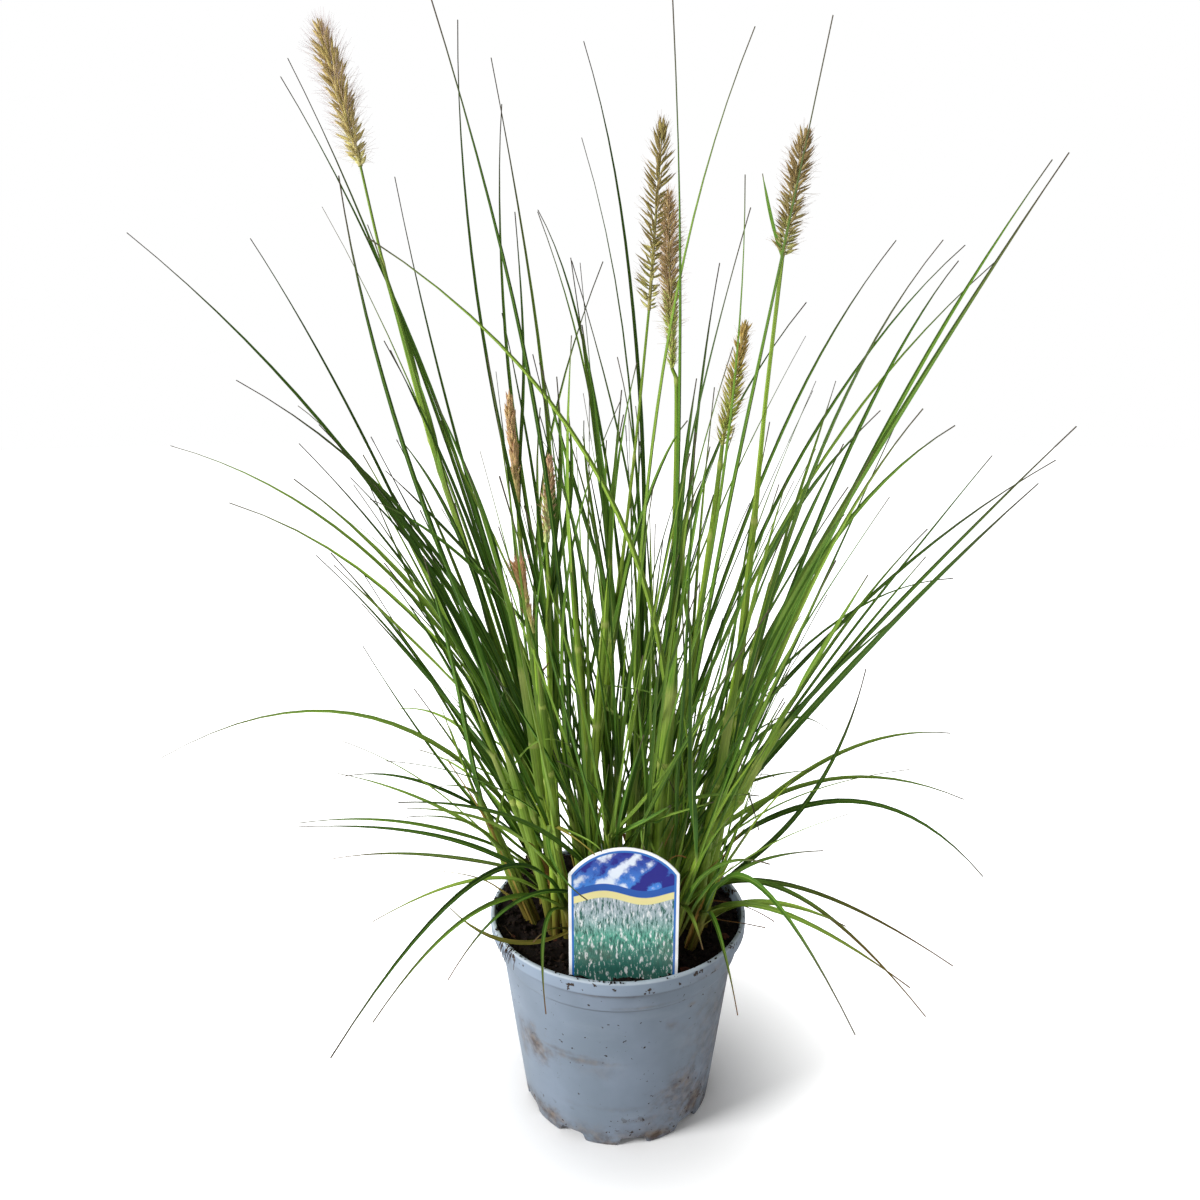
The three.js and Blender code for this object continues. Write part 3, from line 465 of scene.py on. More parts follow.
def clearances(a, rows):
    # least distance from stretch a to each of the rows, less their half widths
    u = a[3:6] - a[0:3]
    v = rows[:, 3:6] - rows[:, 0:3]
    w = a[0:3] - rows[:, 0:3]
    uu, vv, uv, uw, vw = dots(u, u), dots(v, v), v @ u, w @ u, dots(v, w)
    spread = uu * vv - uv * uv
    safe = np.where(spread > 1e-9, spread, 1)
    s = np.where(spread > 1e-9, np.clip((uv * vw - vv * uw) / safe, 0, 1), 0)
    t = (uv * s + vw) / vv
    past = (t < 0) | (t > 1)
    t = np.clip(t, 0, 1)
    s = np.where(past, np.clip((uv * t - uw) / uu, 0, 1), s)
    gap = w + u * s[:, None] - v * t[:, None]
    return np.sqrt(dots(gap, gap)) - a[6] - rows[:, 6]


def isClear(own, rows, room):
    for a in own:
        same = rows[:, 7] == a[7]
        fused = same & ~((a[8] > 0) & (rows[:, 8] > 0))
        if np.any(~fused & ~(clearances(a, rows) > np.where(same, 0, room))):
            return False
    return True


def leafPoint(leaf, t):
    t = np.asarray(t)[..., None]
    first = leaf["root"] + (leaf["bend"] - leaf["root"]) * t
    second = leaf["bend"] + (leaf["tip"] - leaf["bend"]) * t
    return first + (second - first) * t


def leafWidth(leaf, t):
    return leaf["width"] * np.minimum(1, 0.7 + 2 * t) * np.maximum(0, 1 - t ** 2.2) ** 0.9


def leafStretches(leaf, owner):
    first, second = unit(leaf["bend"] - leaf["root"]), unit(leaf["tip"] - leaf["bend"])
    bend = math.acos(min(1, max(-1, dots(first, second)))) / deg
    shares = clump["arching" if bend > clump["archingFrom"] else "straight"]
    points = [leafPoint(leaf, t) for t in shares]
    return np.array([[*points[k], *points[k + 1], leafWidth(leaf, shares[k]) / 2, owner, k > 0]
                     for k in range(len(shares) - 1)], float)


def atLabel(point):
    across = abs(point[0] - labelSize["at"][0])
    inFront = point[1] < labelSize["at"][1] + labelSize["room"]
    return inFront and across < labelSize["width"] / 2 + 6 and point[2] < labelSize["top"] + 8


def clearOfPot(leaf):
    for point in leafPoint(leaf, np.arange(1, 13) / 12):
        overPot = np.hypot(point[0], point[1]) < potSize["rim"] + potSize["rimRoom"]
        floor = potSize["height"] + potSize["rimRoom"] if overPot else clump["lowestLeaf"]
        if point[2] < floor or atLabel(point):
            return False
    return True


def stemStretches(stem):
    axis, widths = stem["axis"], stem["widths"]
    rows = [[*axis[k], *axis[k + 1], widths[k] / 2, stem["number"], 0] for k in range(len(axis) - 1)]
    if stem["flower"]:
        rows.append([*axis[-1], *stem["flower"]["tip"], stem["flower"]["bristle"], stem["number"] + 0.5, 0])
    return np.array(rows, float)


def standingAxis(foot, path):
    # a stem's middle line, from its planted foot through the points passed
    passed = np.array(path, float)
    ground = np.array([*foot, soilHeight(*foot)])
    return np.vstack([ground - unit(passed[0] - ground) * clump["planting"], passed])


def growFloweringStems():
    made = []
    for number, (name, flower) in enumerate(floweringStems.items()):
        axis = standingAxis(flower["foot"], flower["path"])
        sheath = clump["sheath" if flower["reach"] > 7 else "slimSheath"]
        widths = [sheath - 0.35 * k if k <= flower["knee"] else clump["culm"] for k in range(len(axis))]
        widths[-1] = clump["culmTop"]
        made.append({"name": "flowering_stem_" + name, "number": 100 + number, "axis": axis, "widths": widths,
                     "flat": 0.8, "facing": 0, "leaves": [], "flower": flower})
    return made


def growTillers(taken):
    made = []
    for k in range(clump["spiral"]):
        reach = clump["radius"] * math.sqrt((k + 0.5) / clump["spiral"])
        angle = k * golden + draw(-0.1, 0.1)
        x, y = reach * math.cos(angle), reach * math.sin(angle)
        share = reach / clump["radius"]
        lean = clump["lean"] * share + draw(-0.03, 0.05)
        height = draw(*clump["tillerHeight"]) * lerp(clump["middleHeight"], clump["edgeHeight"], share)
        width = draw(*clump["tillerWidth"])
        facing = angle + draw(*clump["tillerTurn"]) * deg
        rise = unit(np.array([lean * math.cos(angle), lean * math.sin(angle), 1]))
        foot = np.array([x, y, soilHeight(x, y)]) - rise * clump["planting"]
        axis = np.array([foot + rise * t * (clump["planting"] + height) for t in (0, 0.45, 1)])
        stem = {"name": f"tiller_{len(made) + 1}", "number": len(made) + 1, "axis": axis, "leaves": [],
                "widths": [width, width, width * 0.4], "flat": clump["tillerFlat"], "facing": facing,
                "flower": None}
        rows = stemStretches(stem)
        if not any(atLabel(point) for point in axis) and isClear(rows, taken["rows"], clump["stemRoom"]):
            made.append(stem)
            taken["rows"] = np.vstack([taken["rows"], rows])
    return made


def addLeaf(stem, leaf, taken, room=clump["leafRoom"]):
    rows = leafStretches(leaf, stem["number"])
    if not clearOfPot(leaf) or not isClear(rows, taken["rows"], room):
        return False
    stem["leaves"].append(leaf)
    taken["rows"] = np.vstack([taken["rows"], rows])
    return True


def nearestAxisPoints(stems, target):
    found = []
    for stem in stems:
        best = None
        for k in range(len(stem["axis"]) - 1):
            start, along = stem["axis"][k], stem["axis"][k + 1] - stem["axis"][k]
            t = min(1, max(0, dots(along, target - start) / dots(along, along)))
            at = start + along * t
            gap = float(np.sqrt(dots(at - target, at - target)))
            if best is None or gap < best[0]:
                best = (gap, stem, at)
        found.append(best)
    return sorted(found, key=lambda entry: entry[0])[:clump["choices"]]


def swung(point, at, swing):
    x, y, z = np.array(point, float) - at
    c, s = math.cos(swing * deg), math.sin(swing * deg)
    return np.array([c * x - s * y, s * x + c * y, z]) + at


def growLeadingLeaves(stems, taken):
    for number, (root, bend, tip, width) in enumerate(leadingLeaves):
        places = nearestAxisPoints(stems, np.array(root, float))
        tries = [(stem, at, swing) for swing in clump["swings"] for _, stem, at in places]
        for stem, at, swing in tries:
            leaf = {"root": at, "bend": swung(bend, at, swing), "tip": swung(tip, at, swing),
                    "width": width, "twist": clump["twist"], "number": number}
            if addLeaf(stem, leaf, taken):
                break


def direction(azimuth, lean):
    return np.array([math.sin(lean) * math.cos(azimuth), math.sin(lean) * math.sin(azimuth), math.cos(lean)])


def insideFunnel(tip):
    high = potSize["height"]
    funnel = clump["funnelFoot"] + clump["funnelSlope"] * (tip[2] - high)
    return math.hypot(tip[0], tip[1]) < (clump["lowReach"] if tip[2] < 2 * high else funnel)


def growLeaves(stem, count, taken):
    foot = stem["axis"][0]
    outward = math.atan2(foot[1], foot[0])
    reach = math.hypot(foot[0], foot[1]) / clump["radius"]
    for k in range(count):
        rank = 1 if k % 2 == 0 else -1
        level = 1 - (k / count) ** 1.2
        low = level < clump["lowShare"]
        for attempt in range(clump["tries"]):
            loose = attempt / clump["tries"]
            azimuth = outward + rank * draw(12, 60 + 30 * loose) * deg
            opening = lerp(*clump["opening"], level ** 0.7)
            lean = (reach * 15 + opening + draw(-3, 4 + 5 * loose)) * deg
            length = draw(*clump["lowLength" if low else "leafLength"])
            arch = draw(*clump["lowArch" if low else "leafArch"]) * deg
            share = lerp(*clump["leafFrom"], level)
            root = foot + (stem["axis"][-1] - foot) * share
            root = root + direction(azimuth, math.pi / 2) * (stem["widths"][0] * 0.12)
            bend = root + direction(azimuth, lean) * (length * 0.5)
            tip = bend + direction(azimuth, lean + arch) * (length * 0.5)
            leaf = {"root": root, "bend": bend, "tip": tip, "width": draw(*clump["leafWidth"]),
                    "turn": draw(*clump["leafTurn"]), "twist": draw(*clump["leafTwist"])}
            if insideFunnel(tip) and addLeaf(stem, leaf, taken):
                break


def growClump():
    flowers = growFloweringStems()
    taken = {"rows": np.vstack([stemStretches(stem) for stem in flowers])}
    tillers = growTillers(taken)
    stems = tillers + flowers
    growLeadingLeaves(stems, taken)
    for stem in tillers:
        growLeaves(stem, max(3, clump["leaves"] - len(stem["leaves"])), taken)
    return stems, taken


stems, taken = growClump()
print(f"clump grown: {len(stems)} stems, {sum(len(stem['leaves']) for stem in stems)} leaves")

# Finer leaves than the solids hold: twins beside the leaves above, and thin ones low in the crown
thinLeaves = {
    "seed": 12, "room": 0.1, "tries": 9, "twinsFrom": 300, "moreFrom": 470, "narrower": (0.5, 0.88),
    "shorter": (0.55, 0.97), "aside": (2.5, 14), "width": (1.6, 3.0), "length": (80, 230), "lean": (4, 30),
    "arch": (5, 70), "spread": 60, "lower": (2, 14), "lift": (-12, 12), "turned": (-50, 50),
    "bendAside": 0.45, "from": (0.3, 1), "dryFrom": (0.22, 0.4), "dryLength": (30, 80), "dryAge": (0.5, 1),
    "outward": 14, "turn": (-90, 90), "twist": (-60, 60),
}

# Thin leaves that stand out by themselves: root, bend, tip, width, turn away from the camera, age
singleLeaves = [
    ((-75, -25, 199), (-58, -56, 291), (-28, -55, 268), 2.0, 40, 0),
    ((-4, -62, 223), (36, -60, 257), (64, -50, 318), 3.0, -50, 0),
    ((-2, -64, 224), (15, -64, 242), (31, -60, 260), 2.0, -20, 0),
    ((1, -66, 211), (14, -70, 228), (29, -66, 237), 4.6, 10, 0),
    ((17, -66, 213), (22, -68, 223), (29, -66, 236), 2.4, 30, 0),
    ((-3, -64, 223), (24, -73, 234), (54, -62, 237), 2.0, 20, 0),
    ((55, -15, 190), (70, -28, 275), (86, -36, 206), 2.8, 20, 0.1),
    ((69, -30, 252), (81, -30, 247), (96, -30, 238), 1.2, 0, 0.1),
    ((-13, 13, 268), (20, -60, 275), (34, -45, 232), 1.3, 0, 0.3),
    ((-9, 14, 290), (26, -34, 297), (44, -25, 269), 1.6, 0, 0.15),
    ((-46, -60, 218), (-28, -77, 226), (-15, -76, 211), 1.2, 10, 0.5),
    ((-29, -60, 220), (-18, -72, 221), (-11, -74, 212), 1.4, 10, 0.25),
    ((-42, -50, 215), (-46, -81, 205), (-19, -81, 185), 2.0, 30, 0.1),
    ((15, -50, 225), (8, -68, 223), (14, -70, 211), 1.0, 0, 0.2),
    ((12, -60, 205), (19, -75, 202), (24, -74, 218), 1.1, 0, 0.35),
    ((-85, -20, 225), (-95, -37, 241), (-116, -34, 232), 1.8, 0, 0.15),
    ((-70, -10, 200), (-90, -45, 235), (-103, -40, 253), 1.1, 0, 0.6),
    ((-71, 18, 270), (-69, -15, 302), (-76, -8, 275), 1.2, 0, 0.1),
    ((-47, 15, 290), (-46, -20, 303), (-43, -24, 310), 2.4, 0, 0.95),
    ((-29, -33, 134), (-67, -80, 141), (-103, -55, 164), 4.4, 20, 0.42),
    ((-36, -46, 134), (-40, -60, 160), (-52, -66, 148), 2.2, 10, 0.2),
    ((31, -40, 157), (39, -68, 185), (49, -72, 147), 4.0, 10, 0),
    ((50, -15, 150), (78, -24, 152), (101, -24, 135), 1.0, 0, 0.95),
    ((48, -20, 145), (66, -34, 142), (92, -40, 141), 0.9, 0, 0.9),
    ((-42, -30, 160), (-50, -42, 205), (-60, -48, 204), 1.5, 0, 0.8),
    ((20, -30, 165), (28, -50, 202), (40, -52, 196), 1.4, 0, 0.85),
    ((96, 20, 549), (86, 20, 572), (82, 20, 592), 4.2, -60, 0.3),
    ((-12, 20, 312), (-7, 30, 399), (-30, 40, 549), 3.8, 60, 0),
    ((-17, 30, 363), (-19, 45, 524), (-51, 60, 580), 2.4, 60, 0.1),
    ((-17, 5, 329), (-27, 8, 412), (-48, 10, 486), 3.2, 60, 0),
    ((-28, 10, 341), (-33, 15, 409), (-49, 20, 455), 2.6, 50, 0),
    ((-24, 8, 335), (-25, 10, 403), (-31, 12, 455), 4.4, 60, 0),
    ((-24, 10, 345), (-33, 12, 420), (-38, 12, 478), 3.8, 60, 0),
    ((-85, 5, 310), (-128, 10, 390), (-185, 20, 452), 3.2, 60, 0),
    ((-75, 0, 300), (-120, 5, 372), (-165, 10, 418), 3.2, 60, 0),
    ((-10, 0, 331), (-10, 0, 406), (2, 0, 456), 2.4, -50, 0),
    ((-7, 25, 311), (-10, 30, 405), (11, 35, 487), 2.6, -60, 0),
    ((15, 25, 338), (14, 28, 403), (13, 30, 439), 1.8, 50, 0.1),
    ((2, -10, 320), (15, -15, 427), (38, -20, 453), 3.0, -60, 0.1),
    ((35, 60, 301), (42, 65, 406), (52, 70, 478), 4.8, -60, 0),
    ((27, 0, 318), (28, -5, 383), (48, -10, 418), 3.8, -60, 0),
    ((-22, 15, 327), (-24, 18, 417), (-22, 20, 452), 3.2, 50, 0),
    ((-13, 20, 326), (-11, 20, 398), (-8, 20, 440), 2.8, -50, 0),
    ((-106, 20, 416), (-130, 28, 509), (-152, 35, 567), 3.6, 60, 0),
    ((-110, 10, 423), (-133, 15, 521), (-145, 20, 556), 3.4, 60, 0),
    ((-47, 30, 402), (-57, 38, 488), (-64, 45, 576), 2.4, 60, 0),
    ((-72, 0, 318), (-101, 0, 385), (-141, 0, 423), 3.6, 60, 0),
    ((-76, 10, 328), (-99, 10, 399), (-133, 10, 441), 3.2, 60, 0),
    ((-69, 10, 341), (-96, 15, 411), (-110, 20, 452), 3.0, 60, 0),
    ((-79, -10, 346), (-102, -15, 390), (-146, -20, 408), 3.2, 60, 0),
    ((74, 10, 315), (96, 15, 396), (160, 20, 458), 4.0, -60, 0),
]

# Broad bright shoots in front, which only the scene has: foot, points passed, width, tone, and their blades:
# point they start from, bend, tip, width, turn
frontShoots = [
    ((-40, -26), [(-41, -40, 182), (-43, -44, 242), (-47, -44, 292), (-50, -44, 324)], 5.2, 0.6, []),
    ((22, -40), [(24, -42, 206), (26, -42, 252), (30, -42, 296), (32, -42, 334)], 7.4, 0.5,
     [(2, (36, -44, 372), (48, -48, 440), 4.5, 60)]),
    ((50, -26), [(55, -34, 202), (60, -34, 235), (65, -34, 277), (70, -34, 321)], 6.4, 0.6,
     [(2, (78, -36, 362), (92, -40, 420), 4.5, -60)]),
    ((-17, -36), [(-17, -36, 201), (-14, -36, 274), (-9, -36, 337), (-6, -36, 372)], 4.6, 0.35,
     [(2, (-6, -34, 400), (0, -30, 470), 4.0, 50), (3, (-8, -30, 420), (-22, -25, 505), 4.0, -60)]),
    ((-8, -30), [(-14, -34, 200), (-20, -34, 260), (-25, -30, 320), (-29, -26, 366)], 4.6, 0.4,
     [(2, (-31, -20, 400), (-36, -10, 462), 4.4, 60), (3, (-32, -20, 420), (-28, -15, 500), 4.0, -50)]),
    ((28, -26), [(40, -36, 182), (57, -36, 205), (73, -36, 226), (83, -36, 248), (99, -36, 275)], 6.0, 0.6,
     [(3, (112, -38, 312), (140, -44, 368), 5.0, 50), (4, (125, -38, 312), (168, -44, 352), 4.6, -40)]),
    ((-43, -22), [(-51, -34, 183), (-60, -38, 225), (-68, -38, 261), (-76, -38, 296)], 5.6, 0.6,
     [(2, (-84, -40, 340), (-112, -46, 405), 4.6, 50), (3, (-96, -38, 345), (-128, -42, 400), 4.4, -50)]),
    ((-44, -16), [(-55, -26, 185), (-66, -30, 222), (-77, -30, 253), (-88, -30, 288)], 4.0, 0.5,
     [(2, (-112, -32, 300), (-150, -38, 350), 4.2, 40), (3, (-120, -30, 322), (-165, -36, 372), 4.0, 50)]),
    ((-33, -30), [(-39, -46, 212), (-42, -50, 250), (-46, -50, 291), (-48, -50, 315)], 5.2, 0.5,
     [(3, (-50, -50, 350), (-40, -52, 396), 3.6, 40)]),
    ((-38, -14), [(-47, -26, 212), (-52, -28, 259), (-58, -28, 304), (-65, -28, 348)], 6.6, 0.35,
     [(2, (-66, -30, 356), (-88, -34, 430), 5.0, 40), (3, (-76, -28, 400), (-104, -30, 465), 4.8, 50)]),
    ((56, -14), [(67, -16, 214), (75, -16, 268), (82, -16, 314), (90, -16, 358)], 6.0, 0.5,
     [(2, (98, -16, 372), (128, -20, 440), 4.6, 50), (3, (106, -16, 412), (122, -18, 475), 4.4, -60)]),
]

# Leading leaves whose blades lie a little to the side of their solids: number, bend and tip moved along X
shiftedLeaves = {13: (-10, -8), 24: (2, 4), 29: (10, 4), 30: (17, -14)}

# Leading leaves that are slimmer than the others, by this share
slimmerLeaves = {2: 0.75, 3: 0.7, 43: 0.65, 44: 0.8, 45: 0.7, 47: 0.7}

# Gaps between the stems, as seen from the camera on the upright plane through the middle of the clump:
# from (x, z) to (x, z), half width
openGaps = [
    ((-77, 455), (-76, 420), 5), ((-72, 400), (-74, 378), 3), ((-57, 425), (-56, 390), 4),
    ((-34, 445), (-33, 430), 3), ((-7, 448), (-9, 405), 5), ((2, 420), (0, 388), 3),
    ((21, 448), (18, 412), 6), ((26, 412), (24, 374), 4), ((43, 445), (42, 412), 3.5),
    ((74, 455), (74, 416), 7), ((76, 387), (76, 362), 4), ((61, 397), (58, 377), 4),
    ((67, 354), (57, 321), 5), ((68, 314), (58, 290), 3.5), ((89, 335), (86, 320), 3),
    ((92, 282), (87, 268), 4), ((78, 230), (83, 242), 4), ((-1, 298), (-2, 282), 2.8),
    ((6, 330), (6, 314), 2.8), ((-24, 318), (-25, 296), 2.5), ((-46, 325), (-47, 305), 2.5),
    ((18, 296), (16, 270), 2.5), ((36, 286), (33, 262), 2.5), ((44, 262), (40, 240), 2.5),
    ((-30, 290), (-31, 265), 2.5), ((4, 262), (4, 240), 2.5), ((53, 300), (50, 280), 2.5),
    ((112, 210), (94, 162), 9), ((23, 404), (23, 384), 3), ((41, 382), (39, 354), 2.5),
    ((52, 405), (49, 376), 2), ((62, 398), (62, 340), 6), ((62, 340), (57, 308), 5),
    ((65, 314), (61, 281), 4), ((75, 396), (78, 357), 3), ((90, 395), (85, 377), 4),
    ((87, 332), (81, 293), 2.5), ((103, 332), (99, 302), 3.5), ((96, 287), (92, 277), 4),
    ((112, 320), (110, 297), 3), ((108, 268), (101, 252), 4), ((85, 260), (81, 241), 4),
    ((121, 245), (109, 234), 5), ((-115, 249), (-108, 230), 4), ((-107, 220), (-97, 209), 4),
    ((-126, 230), (-117, 216), 4),
]

# What stays in sight: the spikes and the low stretches of these culms. Leaves in front of them are narrowed,
# and leading leaves are slimmer by the share called fuller
inSight = {"culms": "abcg", "culmTop": 400, "culmRoom": 4, "spikeRoom": 7, "narrowed": 0.6, "samples": 14,
           "from": 0.08, "facing": 0.8, "aside": 0.3, "fuller": 0.88}


def seenOnPlane(points):
    # where the camera sees them on the plane y = 0
    eye = np.array(camera["at"]) / mm
    ahead = points - eye
    return (eye - ahead * (eye[1] / ahead[..., 1:2]))[..., [0, 2]]


def nearLine(spots, start, end, room):
    along = np.array(end, float) - start
    share = np.clip((spots - start) @ along / (along @ along), 0, 1)
    off = spots - start - share[:, None] * along
    return np.hypot(off[:, 0], off[:, 1]) < room


def shownLines(stems):
    # the spikes, and the stretches of culm that stand in front
    shown = []
    for stem in stems[-len(floweringStems):]:
        line = np.vstack([stem["axis"], stem["flower"]["tip"]])
        culm = stem["name"][-1] in inSight["culms"]
        for k in range(1, len(line) - 1):
            spike = k == len(line) - 2
            if spike or (culm and line[k][2] < inSight["culmTop"]):
                room = inSight["spikeRoom" if spike else "culmRoom"]
                shown.append((*seenOnPlane(line[k:k + 2]), line[k:k + 2, 1].max() + 2, room, spike))
    return shown


def covers(leaf, shown, spikesOnly=False):
    points = leafPoint(leaf, np.linspace(inSight["from"], 1, inSight["samples"]))
    spots = seenOnPlane(points)
    return any(np.any(nearLine(spots, start, end, room) & (points[:, 1] < depth))
               for start, end, depth, room, spike in shown if spike or not spikesOnly)


def closesGap(leaf):
    spots = seenOnPlane(leafPoint(leaf, np.linspace(inSight["from"], 1, inSight["samples"])))
    return any(np.any(nearLine(spots, start, end, room)) for start, end, room in openGaps)


def addThinLeaf(stem, leaf, taken, shown):
    if covers(leaf, shown) or closesGap(leaf):
        return False
    return addLeaf(stem, leaf, taken, thinLeaves["room"])


def growTwins(stem, taken, shown, rng):
    for leaf in list(stem["leaves"]):
        across = unit(np.cross(leaf["tip"] - leaf["root"], up))
        height = leaf["tip"][2]
        for count in range(int(height > thinLeaves["twinsFrom"]) + int(height > thinLeaves["moreFrom"])):
            for attempt in range(thinLeaves["tries"]):
                share = rng.uniform(*thinLeaves["shorter"])
                aside = rng.uniform(*thinLeaves["aside"]) * rng.choice([-1, 1])
                root = leaf["root"] - up * rng.uniform(*thinLeaves["lower"])
                lift = up * rng.uniform(*thinLeaves["lift"])
                bend = lerp(root, leaf["bend"], share) + across * aside * thinLeaves["bendAside"]
                tip = lerp(root, leaf["tip"], share) + across * aside + lift
                twin = {"root": root, "bend": bend, "tip": tip,
                        "width": leaf["width"] * rng.uniform(*thinLeaves["narrower"]), "thin": True,
                        "turn": leaf["turn"] + rng.uniform(*thinLeaves["turned"]), "twist": leaf["twist"]}
                if addThinLeaf(stem, twin, taken, shown):
                    break


def growCrownLeaves(stem, taken, shown, rng):
    foot, top = stem["axis"][0], stem["axis"][-1]
    outward = math.atan2(foot[1], foot[0])
    reach = math.hypot(foot[0], foot[1]) / clump["radius"]
    for dry in (False, True):
        for attempt in range(thinLeaves["tries"]):
            root = lerp(foot, top, rng.uniform(*thinLeaves["dryFrom" if dry else "from"]))
            azimuth = outward + rng.normal(0, thinLeaves["spread"]) * deg
            lean = (reach * thinLeaves["outward"] + rng.uniform(*thinLeaves["lean"])) * deg
            length = rng.uniform(*thinLeaves["dryLength" if dry else "length"])
            arch = rng.uniform(*thinLeaves["arch"]) * rng.uniform(0, 1) * deg
            bend = root + direction(azimuth, lean) * (length * 0.5)
            tip = bend + direction(azimuth + rng.normal(0, 0.5), lean + arch) * (length * 0.5)
            leaf = {"root": root, "bend": bend, "tip": tip, "width": rng.uniform(*thinLeaves["width"]),
                    "turn": rng.uniform(*thinLeaves["turn"]), "twist": rng.uniform(*thinLeaves["twist"]),
                    "thin": True, "age": rng.uniform(*thinLeaves["dryAge"]) if dry else 0.0}
            if insideFunnel(tip) and addThinLeaf(stem, leaf, taken, shown):
                break


def turnToFront(leaf):
    # the turn with which a blade shows its face to the camera
    ahead = unit(leaf["tip"] - leaf["root"])
    across = unit(np.cross(ahead, up))
    view = leafPoint(leaf, 0.6) - np.array(camera["at"]) / mm
    return math.atan(-dots(across, view) / dots(np.cross(ahead, across), view)) / deg * inSight["facing"]


def fitLeaf(leaf, shown):
    # leading leaves face the camera, and a leaf is narrower where it hides what should be seen
    leaf["slim"] = 1
    if "number" in leaf:
        bendShift, tipShift = shiftedLeaves.get(leaf["number"], (0, 0))
        leaf["bend"] = leaf["bend"] + np.array([bendShift, 0, 0])
        leaf["tip"] = leaf["tip"] + np.array([tipShift, 0, 0])
        leaf["turn"] = turnToFront(leaf)
        leaf["slim"] = inSight["fuller"] * slimmerLeaves.get(leaf["number"], 1)
    if covers(leaf, shown, spikesOnly=True) or ("number" not in leaf and closesGap(leaf)):
        leaf["slim"] = inSight["narrowed"]


def growThinLeaves(stems, taken):
    rng = np.random.default_rng(thinLeaves["seed"])
    shown = shownLines(stems)
    for stem in stems:
        for leaf in stem["leaves"]:
            fitLeaf(leaf, shown)
    for stem in stems:
        growTwins(stem, taken, shown, rng)
        if not stem["flower"]:
            growCrownLeaves(stem, taken, shown, rng)
    for root, bend, tip, width, turn, age in singleLeaves:
        gap, stem, at = nearestAxisPoints(stems, np.array(root, float))[0]
        leaf = {"root": at, "bend": np.array(bend, float), "tip": np.array(tip, float), "width": width,
                "twist": 10, "thin": True, "age": age}
        leaf["turn"] = turnToFront(leaf) + turn * inSight["aside"]
        stem["leaves"].append(leaf)


def growFrontShoots():
    made = []
    for foot, path, width, tone, blades in frontShoots:
        axis = standingAxis(foot, path)
        widths = [width] * (len(axis) - 2) + [width * 0.86, width * 0.3]
        shoot = {"name": f"shoot_{len(made) + 1}", "axis": axis, "widths": widths, "flat": 0.7, "facing": 0,
                 "leaves": [], "flower": None, "tone": tone}
        for k, bend, tip, wide, turn in blades:
            leaf = {"root": axis[k + 1], "bend": np.array(bend, float), "tip": np.array(tip, float)}
            shoot["leaves"].append({**leaf, "width": wide, "turn": turn, "twist": 20, "slim": 1})
        made.append(shoot)
    return made


growThinLeaves(stems, taken)
shoots = growFrontShoots()
print(f"thin leaves grown: {sum(len(stem['leaves']) for stem in stems)} leaves")


# Finishes of the grass

def readMarks(material):
    vectors = [add(material.node_tree, "Attribute", {}, attribute_name=name) for name in ("lie", "state")]
    return [split(vector.outputs["Vector"]) for vector in vectors]


def makeGrassMaterial(name, deep, mid, light, base):
    material, shader, where = newMaterial(name, Specular_IOR_Level=0.14)
    (along, across, seed), (age, paleness, inside) = readMarks(material)
    lie = {"Along": along, "Across": across, "Seed": seed}
    vein, streak = add(material.node_tree, "Group", lie, node_tree=leafVeins).outputs
    green = ramp(scaled(seed, 0.6, scaled(streak, 0.9, -0.22)), (0.15, deep), (0.5, mid), (0.9, light))
    # painted shade: one half of the folded blade is darker than the other, and one side of a round stem
    shadedSide = calc("GREATER_THAN", calc("FRACT", times(seed, 5.1)), 0.5)
    half = calc("ABSOLUTE", calc("SUBTRACT", fade(across, -0.2, 0.2), shadedSide))
    # grey-brown tips, long on some leaves, and brown sheaths just above the soil
    second = calc("FRACT", times(seed, 7.3))
    green = layered(
        green,
        ("#557c40", fade(clouds(where, 22, 3), 0.45, 0.7), 0.25),
        (base, fade(along, 0.1, -0.4), 0.7),
        # painted shade on the darker half
        ("#203a08", half, 0.34),
        # a pale line along the midrib: partly its own colour, partly a painted highlight
        ("#95b04e", fade(calc("ABSOLUTE", across), 0.18, 0.0), 0.55),
        ("#2c4514", vein, 0.2),
        ("#b3b968", paleness, 0.6),
        ("#51433c", fade(along, scaled(second, -0.3, 0.9), 1.0), 0.9),
        ("#5c4a2c", fade(second, 0.7, 1.0), fade(streak, 0.4, 0.75), 0.4),
        ("#6e4a2a", fade(split(where)[2], 0.176, 0.132), streak, 1.4),
    )
    tired = calc("ADD", age, scaled(streak, 0.5, -0.25))
    worn = ramp(tired, (0.3, "#8d9440"), (0.6, "#a0833f"), (0.95, "#74492a"))
    color = blended(green, worn, fade(tired, 0.28, 0.6))
    # painted shade, darker low in the middle of the clump
    color = blended(color, "#22350f", inside, 0.22, way="MULTIPLY")
    gloss = scaled(streak, 0.25, 0.32)
    connect(shader, {"Base Color": color, "Roughness": gloss, "Normal": bump(vein, 0.35, 0.0002)})
    return material


leafGreen = makeGrassMaterial("leafGreen", "#284a0e", "#578228", "#9aba48", "#9cba44")
culmGreen = makeGrassMaterial("culmGreen", "#335812", "#6e9628", "#b2cc46", "#9fbc42")
print("grass finishes ready")

